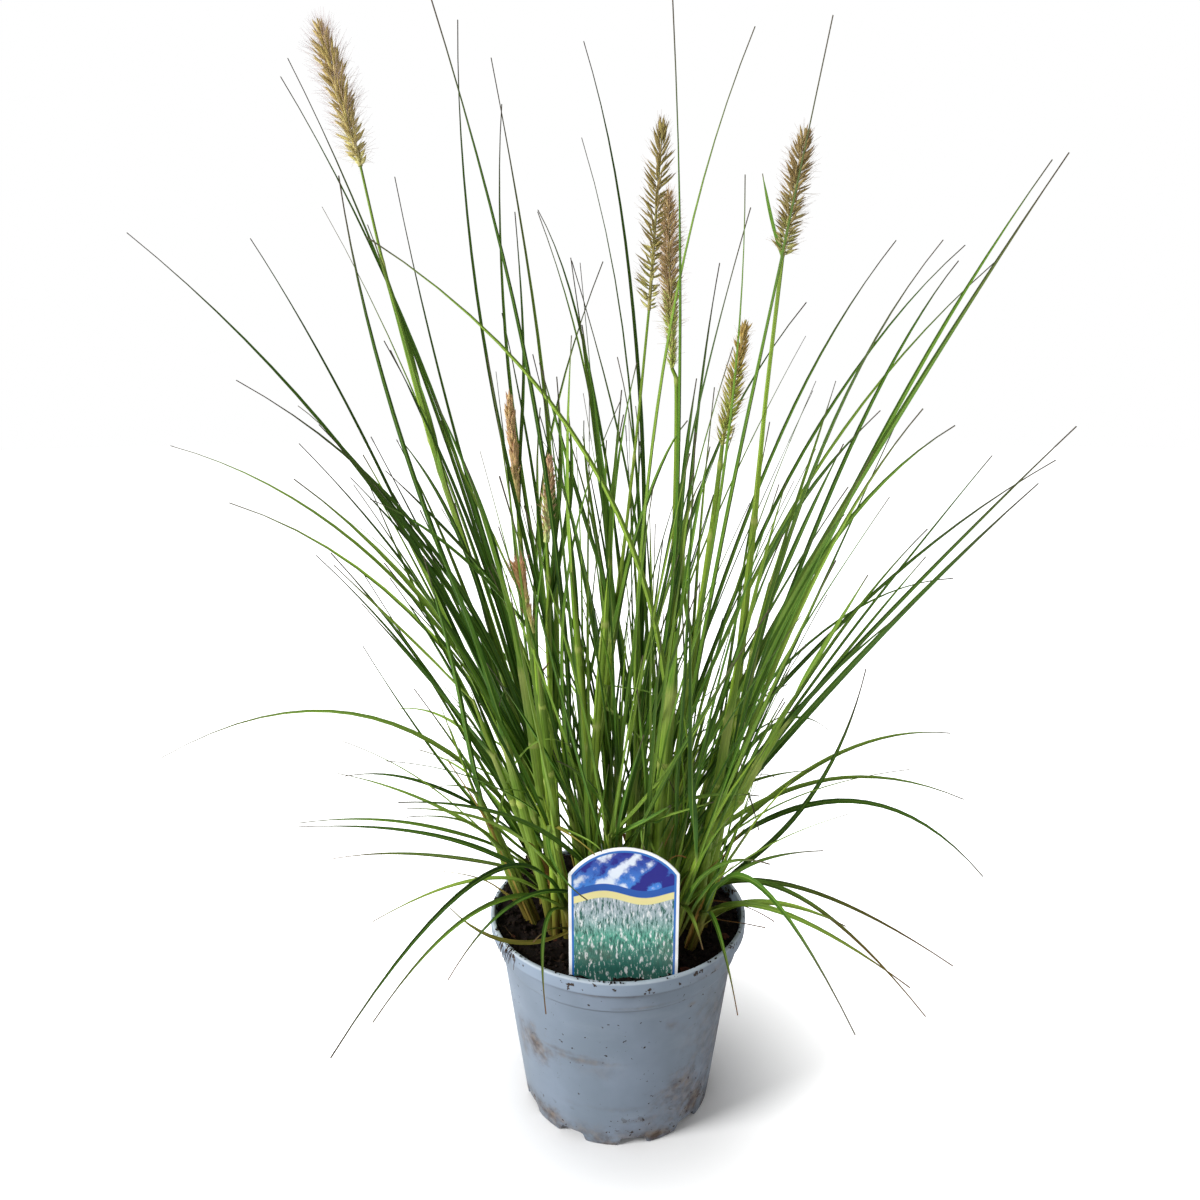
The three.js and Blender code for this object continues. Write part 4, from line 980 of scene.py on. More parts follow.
# Leaves: a slim sheath down to the soil, or round the culm, and then the blade
blade = {
    "steps": 22, "sheathSteps": 7, "thinSteps": 14, "thinSheathSteps": 4, "slim": 0.84, "fold": 0.62,
    "thickness": 0.24, "midrib": 0.26, "opening": 24, "turnOver": 80, "wrapLow": 2.75, "wrapHigh": 1.7,
    "wave": 1.6, "tip": 0.75, "sheathLow": 0.42, "sheathHigh": 0.34, "sheathWall": 0.35,
    "outer": 0.64, "inner": 0.4, "apart": 0.36, "seat": 40, "waveLength": (34, 60), "waveFrom": 90,
    "across": (-1, -0.78, -0.5, -0.2, 0, 0.2, 0.5, 0.78, 1), "thinAcross": (-1, -0.5, 0, 0.5, 1),
}
stemForm = {
    "steps": 8, "sides": 16, "full": 0.94, "node": 2.4, "swelling": 0.24,
    "shoots": 3, "shootSides": 8, "shootWidth": (1.0, 1.6), "rolledSteps": 7, "spear": 60,
    "spearShares": (0.12, 0.35, 0.65, 0.88, 1), "spearTaper": (0.8, 0.66, 0.46, 0.28, 0.12),
    "spearSize": (0.6, 1.9), "spearBow": (-0.2, 0.2), "rolledTo": (0.6, 1),
    "duller": 0.35, "dullerWithin": 20,
    "sheathTop": 290, "sheathFade": 50, "underground": clump["planting"] - 3,
}
# how yellow each culm is, how much fuller its sheaths are low down, and how much slimmer it is above its knee
culmTone = {"a": 0.7, "b": 0.4, "c": 0.5, "d": 0.45, "e": 0.3, "f": 0.4, "g": 0.6, "h": 0.22}
culmFull = {"a": 1.1, "b": 1.7, "c": 1.55, "g": 1.3, "h": 1.2}
culmSlim = {"a": 0.68, "h": 0.7, "c": 0.85}


def crossSection(across):
    # places across a blade, on top and back underneath, which lie underneath, and the middle one there
    top = np.array(across, float)
    under = np.array([0] * len(top) + [1] * (len(top) - 2))
    return np.concatenate([top, top[-2:0:-1]]), under, len(top) + (len(top) - 2) // 2


wideSection = crossSection(blade["across"])
thinSection = crossSection(blade["thinAcross"])


def runLength(points):
    moves = np.diff(points, axis=0)
    return np.concatenate([[0], np.cumsum(np.sqrt(dots(moves, moves)))])


def stemLine(stem):
    # the stem's points joined by a smooth line, with its frame and half widths
    axis = stem["axis"]
    gaps = np.diff(runLength(axis))[:, None]
    slopes = np.diff(axis, axis=0) / gaps
    middle = (slopes[:-1] * gaps[:-1] + slopes[1:] * gaps[1:]) / (gaps[:-1] + gaps[1:])
    tangents = np.vstack([slopes[:1], middle, slopes[-1:]])
    t = (np.arange(stemForm["steps"]) / stemForm["steps"])[:, None]
    fine = [(2 * t**3 - 3 * t**2 + 1) * axis[k] + (t**3 - 2 * t**2 + t) * gaps[k] * tangents[k]
            + (3 * t**2 - 2 * t**3) * axis[k + 1] + (t**3 - t**2) * gaps[k] * tangents[k + 1]
            for k in range(len(gaps))]
    points = np.vstack(fine + [axis[-1:]])
    share = np.arange(len(points)) / stemForm["steps"]
    half = np.interp(share, np.arange(len(axis)), stem["widths"]) / 2 * stemForm["full"]
    if stem["flower"]:
        letter = stem["name"][-1]
        low = 1 - smooth((points[:, 2] - stemForm["sheathTop"]) / stemForm["sheathFade"])
        bare = smooth((share - stem["flower"]["knee"]) * 2)
        half = half * lerp(1, culmFull.get(letter, 1), low) * lerp(1, culmSlim.get(letter, 1), bare)
    ahead = unit(np.gradient(points, axis=0))
    facing = np.array([math.cos(stem["facing"]), math.sin(stem["facing"]), 0.0])
    side = squareTo(facing + 0 * points, ahead)
    run = runLength(points)
    return {"points": points, "ahead": ahead, "side": side, "front": np.cross(ahead, side), "half": half,
            "run": run, "flat": stem["flat"], "knots": run[::stemForm["steps"]]}


def lineAt(line, run):
    pick = {key: np.stack([np.interp(run, line["run"], line[key][:, k]) for k in range(3)], axis=-1)
            for key in ("points", "ahead", "side", "front")}
    return pick, np.interp(run, line["run"], line["half"])


def paintedClumpShade(points):
    # how much painted shade: 1 low down in the middle of the clump, 0 outside it
    reach = np.hypot(points[..., 0], points[..., 1])
    return smooth((230 - points[..., 2]) / 100) * smooth((75 - reach) / 60)


def stemTube(at, half, flat, turn, along, spot, knots):
    rings = ringsRound(at["points"], at["side"], at["front"] * flat, turn, half)
    state = (0, column(knots), column(paintedClumpShade(at["points"])))
    return closedTube(rings, marked(rings.shape[:2], (column(along), np.cos(turn), column(spot)), state), 1)


def culmBody(stem, line):
    nodes = line["knots"][2:-1]
    runs = np.sort(np.concatenate([line["run"]] + [nodes + step for step in (-4, -2, -1, 1, 2, 4)]))
    runs = runs[np.concatenate([[True], np.diff(runs) > 0.3])]
    at, half = lineAt(line, runs)
    knots = np.exp(-((column(runs) - nodes) / stemForm["node"]) ** 2).sum(axis=1)
    if "tone" in stem:
        tone, along = stem["tone"], 0.95
    else:
        # duller above the knee
        tone, along = culmTone[stem["name"][-1]], 0.75
        past = (runs - line["knots"][stem["flower"]["knee"]]) / stemForm["dullerWithin"]
        tone = tone - stemForm["duller"] * smooth(past)
    swollen = half * (1 + stemForm["swelling"] * knots)
    turn = roundAngles(stemForm["sides"])
    return stemTube(at, swollen, line["flat"], turn, -0.9 + along * runs / runs[-1], tone, knots)


def asideOnStem(at, half, own, flat, lay):
    # from the stem's middle to the middle of a slimmer shoot inside it
    off = at["side"] * math.cos(lay) + at["front"] * (flat * math.sin(lay))
    return np.maximum(half - own, 0)[:, None] * off


def youngShoots(line, rng):
    # slim shoots, still rolled up, which grow on out of the top of the tiller
    parts = []
    turn = roundAngles(stemForm["shootSides"])
    steps = stemForm["rolledSteps"]
    taper = np.concatenate([np.linspace(1.1, 0.9, steps), stemForm["spearTaper"]])
    along = np.concatenate([np.linspace(-1, 0, steps), np.linspace(0.1, 1, len(stemForm["spearShares"]))])
    for k in range(stemForm["shoots"]):
        own = rng.uniform(*stemForm["shootWidth"])
        end = line["run"][-1] * rng.uniform(*stemForm["rolledTo"])
        at, half = lineAt(line, np.linspace(stemForm["underground"], end, steps))
        middle = at["points"] + asideOnStem(at, half, own, line["flat"], k * 2.4 + rng.uniform(0, 1.2))
        reach = np.array(stemForm["spearShares"]) * stemForm["spear"] * rng.uniform(*stemForm["spearSize"])
        bow = sum(at[key][-1] * rng.uniform(*stemForm["spearBow"]) for key in ("side", "front"))
        more = middle[-1] + np.outer(reach, at["ahead"][-1]) + np.outer(reach**2 / reach[-1], bow)
        at = {key: np.vstack([at[key], np.tile(at[key][-1], (len(reach), 1))]) for key in ("side", "front")}
        at["points"] = np.vstack([middle, more])
        parts.append(stemTube(at, own * taper, 1, turn, along, rng.uniform(0.1, 1), 0 * along))
    return parts


def oneCulm(stem):
    return bool(stem["flower"]) or "tone" in stem


def slimWidth(leaf):
    return leaf["width"] * (1 if leaf.get("thin") else blade["slim"] * leaf["slim"])


def leafSheath(stem, line, leaf, below, section, steps, rng):
    # the sheath's rings, where the blade is to start, and how far along the stem they lie
    ring, under, backPoint = section
    gap = line["points"] - leaf["root"]
    top = float(line["run"][np.argmin(dots(gap, gap))])
    start = min(below, top - 14) if oneCulm(stem) else stemForm["underground"]
    runs = np.linspace(start, max(top, start + 10), steps)
    at, half = lineAt(line, runs)
    share = np.linspace(0, 1, steps)
    out = squareTo(unit(leaf["bend"] - leaf["root"]), at["ahead"][-1])
    back = math.atan2(dots(out, at["front"][-1]) / line["flat"], dots(out, at["side"][-1]))
    centre = at["points"]
    if "shoot" in leaf:
        # one inside the other, in one of the tiller's two shoots
        centre = centre + at["side"] * (half * blade["apart"] * leaf["shoot"])[:, None]
        half = half * lerp(blade["outer"], blade["inner"], leaf["rank"])
    elif not oneCulm(stem):
        own = lerp(blade["sheathLow"], blade["sheathHigh"], share) * slimWidth(leaf) + blade["sheathWall"]
        centre = centre + asideOnStem(at, half, own, line["flat"], back + rng.normal(0, 0.5))
        half = own
    wrap = column(lerp(blade["wrapLow"], blade["wrapHigh"], share))
    layer = column(lerp(0.15, 0.5, share)) - (1 - under) * blade["thickness"] * (1 - ring**2)
    turn = back - ring * wrap
    wide = ((column(half) + layer) * np.cos(turn))[..., None] * at["side"][:, None]
    deep = ((column(half) * line["flat"] + layer) * np.sin(turn))[..., None] * at["front"][:, None]
    rings = centre[:, None] + wide + deep
    return rings, rings[-1, backPoint], runs, squareTo(np.cross(out, at["ahead"][-1]), at["ahead"][-1])


def bladeFrame(leaf, seat, natural, t, rng):
    # the blade's middle line, its side and upper directions, and the distance along it
    middle = leafPoint(leaf, t)
    dist = t * runLength(middle)[-1]
    middle = middle + (seat - leaf["root"]) * column(1 - smooth(dist / blade["seat"]))
    across = unit(np.cross(leaf["tip"] - leaf["root"], up))
    wave = blade["wave"] * np.sin(dist / rng.uniform(*blade["waveLength"]) + rng.uniform(0, 6))
    middle = middle + column(wave * smooth(dist / blade["waveFrom"]) * (1 - t)) * across
    ahead = unit(np.gradient(np.vstack([seat, middle]), np.concatenate([[0], dist]), axis=0))[1:]
    side = squareTo(across + 0 * ahead, ahead)
    natural = squareTo(natural, ahead[0])
    begin = math.atan2(dots(np.cross(side[0], natural), ahead[0]), dots(side[0], natural))
    settle = smooth(dist / blade["turnOver"])
    turn = begin * (1 - settle) + leaf["turn"] * deg * settle + leaf["twist"] * deg * t
    side = turnedRound(side, ahead, turn)
    return middle, side, np.cross(side, ahead), dist


def leafParts(stem, line, leaf, below, rng):
    thin = leaf.get("thin", False)
    section = thinSection if thin else wideSection
    ring, under = section[:2]
    sheathSteps = blade["thinSheathSteps" if thin else "sheathSteps"]
    sheath, seat, runs, natural = leafSheath(stem, line, leaf, below, section, sheathSteps, rng)
    steps = blade["thinSteps" if thin else "steps"]
    t = ((np.arange(steps) + 1) / steps) ** 1.2
    middle, side, over, dist = bladeFrame(leaf, seat, natural, t, rng)
    width = column(np.maximum(leafWidth(leaf, t) * slimWidth(leaf) / leaf["width"], blade["tip"]))
    thick = blade["thickness"] * (1 - 0.75 * ring**2) + blade["midrib"] * np.exp(-((ring / 0.16) ** 2))
    thick = thick * np.minimum(1, width / 2.5)
    rise = blade["fold"] * column(1 - 0.35 * t) * width / 2 * np.abs(ring) ** 1.3 - under * thick
    flat = (ring * width / 2)[..., None] * side[:, None] + rise[..., None] * over[:, None]
    spread = smooth(dist / blade["opening"])[:, None, None]
    rings = np.concatenate([sheath, middle[:, None] + (1 - spread) * (sheath[-1] - seat) + spread * flat])
    along = np.concatenate([np.linspace(-1, 0, len(runs)), t])
    far = np.concatenate([runs[-1] - runs, dist])
    lie = (column(along), ring, rng.uniform(0, 1))
    pale = column((0.4 if thin else 0.9) * np.exp(-((far / 4.5) ** 2)))
    state = (leaf.get("age", 0.0), pale, paintedClumpShade(rings))
    return closedTube(rings, marked(rings.shape[:2], lie, state)), runs[-1]


def shareShoots(stem):
    # the broad leaves of a tiller belong to its two shoots in turn
    broad = sorted((leaf for leaf in stem["leaves"] if "thin" not in leaf), key=lambda leaf: leaf["root"][2])
    for k, leaf in enumerate(broad):
        leaf["shoot"] = 1 if k % 2 else -1
        leaf["rank"] = k / len(broad)


def growPieces(stems):
    for number, stem in enumerate(stems):
        rng = np.random.default_rng(700 + number)
        line = stemLine(stem)
        if oneCulm(stem):
            parts = [culmBody(stem, line)]
        else:
            shareShoots(stem)
            parts = youngShoots(line, rng)
        below = stemForm["underground"]
        for leaf in sorted(stem["leaves"], key=lambda entry: entry["root"][2]):
            part, top = leafParts(stem, line, leaf, below, rng)
            parts.append(part)
            below = top - 10
        kind, slot, nodes = "tillerLeaves_", "leaf", [stem["name"]]
        if "tone" in stem:
            kind, slot, nodes = "frontShoot_", "culm", []
        elif stem["flower"]:
            kind, slot = "floweringStem_", "culm"
        makePiece(kind + stem["name"].split("_")[-1], parts, [leafGreen, culmGreen], slot, nodes)


growPieces(stems + shoots)
print("stems and leaves made")


# Flower spikes: spikelets in a spiral round the rachis, each with its bristles

def spindles(base, heading, length, width, shape, sides, bow, mark):
    # many small tapered bodies at once; shape lists (share of length, share of width)
    other = np.where(np.abs(heading[:, 2:]) < 0.9, up, np.array([1.0, 0, 0]))
    wide = unit(np.cross(heading, other))
    deep = np.cross(heading, wide)
    turn = roundAngles(sides)
    rings = []
    for share, swell in shape:
        centre = base + heading * column(length * share) + bow * share**2
        rings.append(ringsRound(centre, wide, deep, turn, width * swell / 2))
    rings = np.stack(rings, axis=1)
    kind, spot, high = mark
    lie = (column([share for share, swell in shape]), kind, spot[:, None, None])
    return closedTube(rings, marked(rings.shape[:3], lie, (high[:, None, None], 0, 0)))


# For the spikes a to h in turn: body, girth, hair and thick in mm, open in degrees and full as a share at
# four places from the spike's foot to its tip, and the level where its colour turns from low to high
spikeLooks = {
    "spikelets": (136, 250, 175, 140, 150, 130, 110, 150),
    "body": (11.5, 9.6, 9.6, 8.8, 8.0, 7.2, 7.4, 12),
    "girth": (1.35, 1.35, 1.35, 1.3, 1.9, 1.8, 1.5, 2.0),
    "bristles": (3, 5, 3, 3, 3, 4, 5, 6),
    "hair": (13, 12.5, 12, 10.5, 8.0, 8.5, 11.0, 18),
    "thick": (0.2, 0.25, 0.22, 0.22, 0.24, 0.24, 0.26, 0.2),
    "fuzz": (0.16, 0.4, 0.22, 0.2, 0.08, 0.12, 0.16, 0.32),
    "rachis": (1.1, 1.3, 1.1, 1.0, 2.0, 1.9, 1.5, 1.5),
    "open": ((70, 64, 54, 14), (20, 44, 62, 40), (66, 64, 58, 26), (40, 50, 40, 14), (8, 14, 15, 7),
             (12, 26, 26, 10), (8, 12, 24, 38), (60, 50, 42, 24)),
    "full": ((0.8, 1, 0.92, 0.75), (0.5, 0.85, 1, 0.6), (0.75, 1, 1, 0.75), (0.7, 1, 0.8, 0.6),
             (0.6, 0.95, 1, 0.8), (0.6, 1, 0.9, 0.6), (0.5, 0.7, 1, 1), (0.55, 0.9, 1, 0.6)),
    # how strong the painted shade at each spikelet's foot is
    "gaps": (0.5, 0.5, 0.5, 0.5, 0.12, 0.14, 0.25, 0.45),
    "ripe": ((0.0, 0.5), (0.2, 0.5), (0.08, 0.6), (0.3, 0.85), (0.0, 0.4), (0.5, 0.8), (0.45, 0.85),
             (0.0, 0.4)),
    "low": ("#b3b169", "#aec45c", "#b9ba74", "#a9b850", "#b4a468", "#ccd88a", "#b8bf6a", "#d8d28c"),
    "high": ("#8f8345", "#b09a6a", "#9f8a58", "#b3984e", "#c7a672", "#be9874", "#be9862", "#cfbb74"),
    "end": ("#75603a", "#a5875e", "#84673f", "#a88a48", "#c9a27c", "#c9987e", "#b98a62", "#b09a58"),
    "hairs": ("#a58f66", "#c6ac84", "#ac966c", "#b8a462", "#cba888", "#c8a684", "#c49a78", "#c6b092"),
    "hairEnd": ("#94786a", "#bd9686", "#9a7f76", "#b08c68", "#dca098", "#cf988c", "#cf7f76", "#ab909e"),
}
rubbedSpike = {"name": "a", "to": 0.66, "short": 0.62}
spikeletRule = {"turn": 0.4, "lean": 6, "size": (0.8, 1.12), "girth": (0.8, 1.15), "off": 0.3, "lift": 0.12,
                "hair": (0.7, 1.15), "thick": (0.7, 1.1), "bow": (-0.08, 0.22)}
spikeShares = (0, 0.3, 0.75, 1)
spikeletForm = [(0, 0.3), (0.22, 0.9), (0.5, 1.0), (0.8, 0.5), (1, 0.06)]
hairForm = [(0, 1.0), (0.5, 0.8), (1, 0.3)]


def makeSpikeMaterial(name, look):
    material, shader, where = newMaterial("spike_finish_" + name, Roughness=0.7, Specular_IOR_Level=0.15)
    (along, kind, seed), (height, *_) = readMarks(material)
    ripe = fade(calc("ADD", height, scaled(seed, 0.4, -0.2)), *look["ripe"])
    body = layered(
        blended(look["low"], look["high"], ripe),
        (look["end"], fade(along, 0.4, 1.0)),
        ("#5c5028", fade(seed, 0.6, 1.0), 0.4),
        # painted shade at each spikelet's foot, deep in the spike
        ("#4a4220", fade(along, 0.35, 0.0), look["gaps"]),
    )
    hair = blended(blended(look["low"], look["hairs"], ripe), look["hairEnd"], fade(along, 0.3, 1.0))
    grain = clouds(where, 900, 3)
    color = layered(body, (hair, fade(kind, 0.4, 0.6)), ("#b9a876", grain, 0.3))
    connect(shader, {"Base Color": color, "Normal": bump(grain, 0.3, 0.0002)})
    return material


def spikeRachis(start, ahead, side, front, length, girth):
    stalk = np.linspace(0, 1, 14)
    core = start + np.outer(stalk * length * 0.96, ahead)
    rings = ringsRound(core, side, front, roundAngles(10), lerp(girth, 0.35, stalk))
    return closedTube(rings, marked(rings.shape[:2], (0, 0, 0.3), (column(stalk * 0.2), 0, 0)))


def makeSpike(stem):
    name = stem["name"].split("_")[-1]
    look = {key: values[ord(name) - ord("a")] for key, values in spikeLooks.items()}
    rng = np.random.default_rng(40 + ord(name))
    start = stem["axis"][-1]
    reach = np.array(stem["flower"]["tip"], float) - start
    length = float(np.sqrt(dots(reach, reach)))
    ahead = unit(reach)
    side = squareTo(np.array([1.0, 0, 0]), ahead)
    front = np.cross(ahead, side)
    count = look["spikelets"]
    t = ((np.arange(count) + 0.5) / count) ** 0.9
    full = np.interp(t, spikeShares, look["full"])
    turn = np.arange(count) * golden + rng.normal(0, spikeletRule["turn"], count)
    radial = column(np.cos(turn)) * side + column(np.sin(turn)) * front
    lean = (np.interp(t, spikeShares, look["open"]) + rng.normal(0, spikeletRule["lean"], count)) * deg
    heading = unit(column(np.sin(lean)) * radial + column(np.cos(lean)) * ahead)
    if name == rubbedSpike["name"]:
        # spikelets are short where the spike rubs on its neighbour
        full = np.where((t < rubbedSpike["to"]) & (np.cos(turn) > 0.1), full * rubbedSpike["short"], full)
    size = look["body"] * full * rng.uniform(*spikeletRule["size"], count)
    base = start + column(t * (length - 0.9 * look["body"])) * ahead + radial * 0.7
    base = base + rng.normal(0, spikeletRule["off"], (count, 3))
    spot = rng.uniform(0, 1, count)
    girth = look["girth"] * rng.uniform(*spikeletRule["girth"], count)
    lift = np.outer(size * spikeletRule["lift"], ahead)
    parts = [spindles(base, heading, size, girth, spikeletForm, 6, lift, (0, spot, t))]
    many = look["bristles"]
    bristles = count * many
    spray = unit(np.repeat(heading, many, axis=0) + rng.normal(0, look["fuzz"], (bristles, 3)))
    hair = look["hair"] * np.repeat(full, many) * rng.uniform(*spikeletRule["hair"], bristles)
    thin = look["thick"] * rng.uniform(*spikeletRule["thick"], bristles)
    bow = np.outer(hair, ahead) * column(rng.uniform(*spikeletRule["bow"], bristles))
    bow += rng.normal(0, look["fuzz"] * 1.5, (bristles, 3))
    marks = (1, np.repeat(spot, many), np.repeat(t, many))
    parts.append(spindles(np.repeat(base, many, axis=0), spray, hair, thin, hairForm, 3, bow, marks))
    parts.append(spikeRachis(start, ahead, side, front, length, look["rachis"]))
    finish = makeSpikeMaterial(name, look)
    makePiece("flowerSpike_" + name, parts, [finish], "spike", ["spike_" + name], sharp=60)


for stem in stems[-len(floweringStems):]:
    makeSpike(stem)
print("flower spikes made")

# Pot: a turned wall with a rolled lip, a step under it, and feet cut out of its skirt
pot = {
    **potSize, "sides": 240, "lip": 9, "lipWidth": 2.8, "overhang": 3.6, "step": 110, "stepWidth": 2.0,
    "foot": 63.6, "skirt": 3, "wall": 1.0, "floorUnder": 7, "floorTop": 9, "floorRings": (12, 28, 34, 46, 52),
    "feet": 10, "firstNotch": 26, "notchWidth": 20, "notchTaper": 3, "notchHeight": 6,
    "holes": 5, "holeRadius": 5, "holeCircle": 40, "warp": 0.35, "warpFrom": 60,
    "stepRows": (106, 107.4, 108, 108.6, 109.2, 109.8, 110.4, 111.2, 113, 117, 121, 123.3),
    "innerRows": (130, 126, 121, 116, 112, 110.6, 109.6, 108.8, 108, 106, 90, 60, 30, 12),
}
underLip = pot["height"] - pot["lip"]
underStep = pot["rim"] - pot["overhang"] - 2 * pot["stepWidth"]


def wallRadius(z):
    low = lerp(pot["foot"], underStep, z / (pot["step"] - 1))
    share = (z - pot["step"]) / (underLip - pot["step"])
    high = lerp(underStep + pot["stepWidth"], pot["rim"] - pot["overhang"], share)
    return lerp(low, high, smooth((z - pot["step"] + 2.0) / 2.6))


def innerRadius(z):
    inside = underStep - pot["wall"]
    low = lerp(pot["foot"] - 1, inside, (z - pot["floorTop"]) / (pot["step"] - 2 - pot["floorTop"]))
    share = (z - pot["step"]) / (pot["height"] - pot["step"])
    high = lerp(inside + pot["stepWidth"], pot["rim"] - pot["lipWidth"], share)
    return lerp(low, high, smooth((z - pot["step"] + 2.5) / 3))


def roundedCorner(r, z, radius, first, last, steps=5):
    angles = np.linspace(first, last, steps) * deg
    return [(r + radius * math.cos(a), z + radius * math.sin(a)) for a in angles]


# Dirt on the pot, and one broad patch of painted shade: degrees round it, height, width and height of the patch
# in mm, strength
potDirtAndShade = [
    (-139, 64, 16, 12, 0.85), (-110, 67, 20, 2.6, 0.55), (-124, 70, 26, 2.2, 0.4), (-60, 45, 9, 6, 0.5),
    (-65, 92, 5, 4, 0.55), (-54, 102, 4, 2.5, 0.6), (-52, 34, 20, 20, 0.8), (-40, 18, 28, 20, 0.9),
    (-139, 8, 26, 8, 0.95), (-122, 3, 18, 5, 0.95), (-90, 30, 30, 2.5, 0.18), (-95, 122, 24, 2, 0.5),
    (-150, 58, 6, 16, 0.5), (-68, 4, 16, 6, 0.95), (-44, 80, 8, 10, 0.45), (20, 40, 26, 16, 0.45),
    (70, 70, 30, 3, 0.4), (110, 12, 34, 9, 0.6), (165, 90, 18, 8, 0.4), (-75, 20, 20, 3, 0.35),
    # the broad patch at -24 degrees is painted shade on the right of the wall as well as dirt
    (-24, 58, 34, 58, 0.5), (-46, 126, 18, 5, 0.4), (-78, 112, 22, 1.6, 0.35), (-100, 60, 14, 5, 0.2),
]


def dotProduct(where, way):
    return add(where.id_data, "VectorMath", {0: where, 1: way}, operation="DOT_PRODUCT").outputs["Value"]


def potDirtAndShadeMask(where, ragged):
    mask = 0.0
    high = times(split(where)[2], 1000.0)
    for turn, atHigh, wide, tall, strength in potDirtAndShade:
        # distance round the wall from the patch's middle, in mm, and none on the far side
        out = Vector((math.cos(turn * deg), math.sin(turn * deg), 0))
        aside = Vector((-out.y, out.x, 0)) * 1000
        along, near = (dotProduct(where, way) for way in (aside, out))
        place = {"Round": along, "High": high, "Ragged": ragged, "AtHigh": atHigh, "Wide": wide, "Tall": tall}
        patch = add(where.id_data, "Group", place, node_tree=dirtAndShadePatch).outputs["Mask"]
        mask = calc("MAXIMUM", mask, times(patch, calc("GREATER_THAN", near, 0.0), strength))
    return mask


def speckled(where, scale, amount, patch):
    inputs = {"Where": where, "Scale": scale, "Amount": amount, "Patch": patch}
    return add(where.id_data, "Group", inputs, node_tree=soilSpecks).outputs["Specks"]


def makePotMaterial():
    material, shader, where = newMaterial("potPlastic", Specular_IOR_Level=0.3)
    high = split(where)[2]
    cloudy = clouds(where, 14, 4)
    streak = clouds(mapped(where, size=(1, 1, 2.5)), 26, 5)
    # painted shade in the crease under the lip and in the step, and dust low on the wall
    creaseShade = fade(high, (underLip - 5) * mm, underLip * mm)
    creaseShade = times(creaseShade, calc("LESS_THAN", high, (underLip + 0.1) * mm))
    fromStep = calc("ABSOLUTE", calc("SUBTRACT", high, (pot["step"] - 0.9) * mm))
    creaseShade = calc("MAXIMUM", creaseShade, fade(fromStep, 1.5 * mm, 0.2 * mm))
    ragged = clouds(where, 90, 6, 0.65)
    foot = times(fade(high, 0.022, 0.0), fade(ragged, 0.3, 0.62), 0.7)
    dirtAndShade = calc("MAXIMUM", potDirtAndShadeMask(where, ragged), foot)
    mudAndShade = blended("#4c3c30", "#7b6a59", fade(clouds(where, 160, 4), 0.4, 0.65))
    # the lip is paler, with a painted highlight along its top, and larger bits stick to it and to the foot
    lipFace = fade(high, (underLip + 0.4) * mm, (underLip + 1.2) * mm)
    lipTopHighlight = fade(high, (pot["height"] - 1.6) * mm, (pot["height"] - 0.5) * mm)
    sticky = calc("MAXIMUM", fade(high, 0.03, 0.008), lipFace)
    color = layered(
        blended("#717e8c", "#7f8c9d", fade(cloudy, 0.35, 0.7)),
        ("#9aa6b1", fade(streak, 0.5, 0.8), 0.2),
        # painted shade in the creases
        ("#3a3f45", creaseShade, 0.65),
        ("#a0b2c6", lipFace, 0.25),
        # painted highlight along the lip's top
        ("#b9c4cd", lipTopHighlight, 0.7),
        # dirt, and painted shade on the right of the wall
        (mudAndShade, dirtAndShade),
        ("#2a2220", speckled(where, 300.0, 0.2, 22.0)),
        ("#33271f", speckled(where, 150.0, 0.3, 40.0), sticky),
    )
    gloss = scaled(dirtAndShade, 0.3, scaled(cloudy, 0.2, 0.36))
    grain = bump(clouds(where, 260, 3), 0.12, 0.0004)
    connect(shader, {"Base Color": color, "Roughness": gloss, "Normal": grain})
    return material


def notchedFoot(angle):
    # height of the pot's lower edge, 0 on the feet
    pitch = 2 * math.pi / pot["feet"]
    off = np.abs((angle - pot["firstNotch"] * deg + pitch / 2) % pitch - pitch / 2) * pot["foot"]
    return pot["notchHeight"] * smooth((pot["notchWidth"] / 2 - off) / pot["notchTaper"])


def makePot():
    angle = roundAngles(pot["sides"])
    low = notchedFoot(angle)
    skirt = pot["foot"] - pot["skirt"]
    rows = [(r, pot["floorUnder"]) for r in (0.5, *pot["floorRings"], skirt - 1)]
    rows += [(skirt, lerp(low, pot["floorUnder"], share)) for share in (1, 0.5, 0.12)]
    rows += [(skirt + 0.3, low), (wallRadius(low) - 0.5, low)]
    outer = [lerp(low, pot["floorUnder"] + 1, share) for share in (0.05, 0.3, 0.6, 1)]
    rows += [(wallRadius(z), z) for z in (*outer, *np.linspace(12, 104, 24), *pot["stepRows"])]
    rows += [(wallRadius(underLip) + 0.3, underLip - 0.1), (wallRadius(underLip) + 1.1, underLip)]
    rows += roundedCorner(pot["rim"] - 0.9, underLip + 0.7, 0.7, -80, 0)
    rows += [(pot["rim"] - 0.05, underLip + 4)]
    rows += roundedCorner(pot["rim"] - 1.4, pot["height"] - 1.4, 1.4, 5, 90, 7)
    rows += roundedCorner(pot["rim"] - pot["lipWidth"] + 0.6, pot["height"] - 0.6, 0.6, 95, 180, 4)
    rows += [(innerRadius(z), z) for z in pot["innerRows"]]
    rows += [(r, pot["floorTop"]) for r in (pot["foot"] - 1.2, *pot["floorRings"][::-1], 0.5)]
    rings = turnedRings(rows, pot["sides"])
    # the wall is not perfectly round
    warp = pot["warp"] * np.sin(2 * angle + 0.6) * smooth(rings[:, :, 2] / pot["warpFrom"])
    rings[:, :, 0] += warp * np.cos(angle)
    rings[:, :, 1] += warp * np.sin(angle)
    cutDrainHoles(makePiece("nurseryPot", [closedTube(rings)], [makePotMaterial()], "pot", ["pot"], sharp=50))


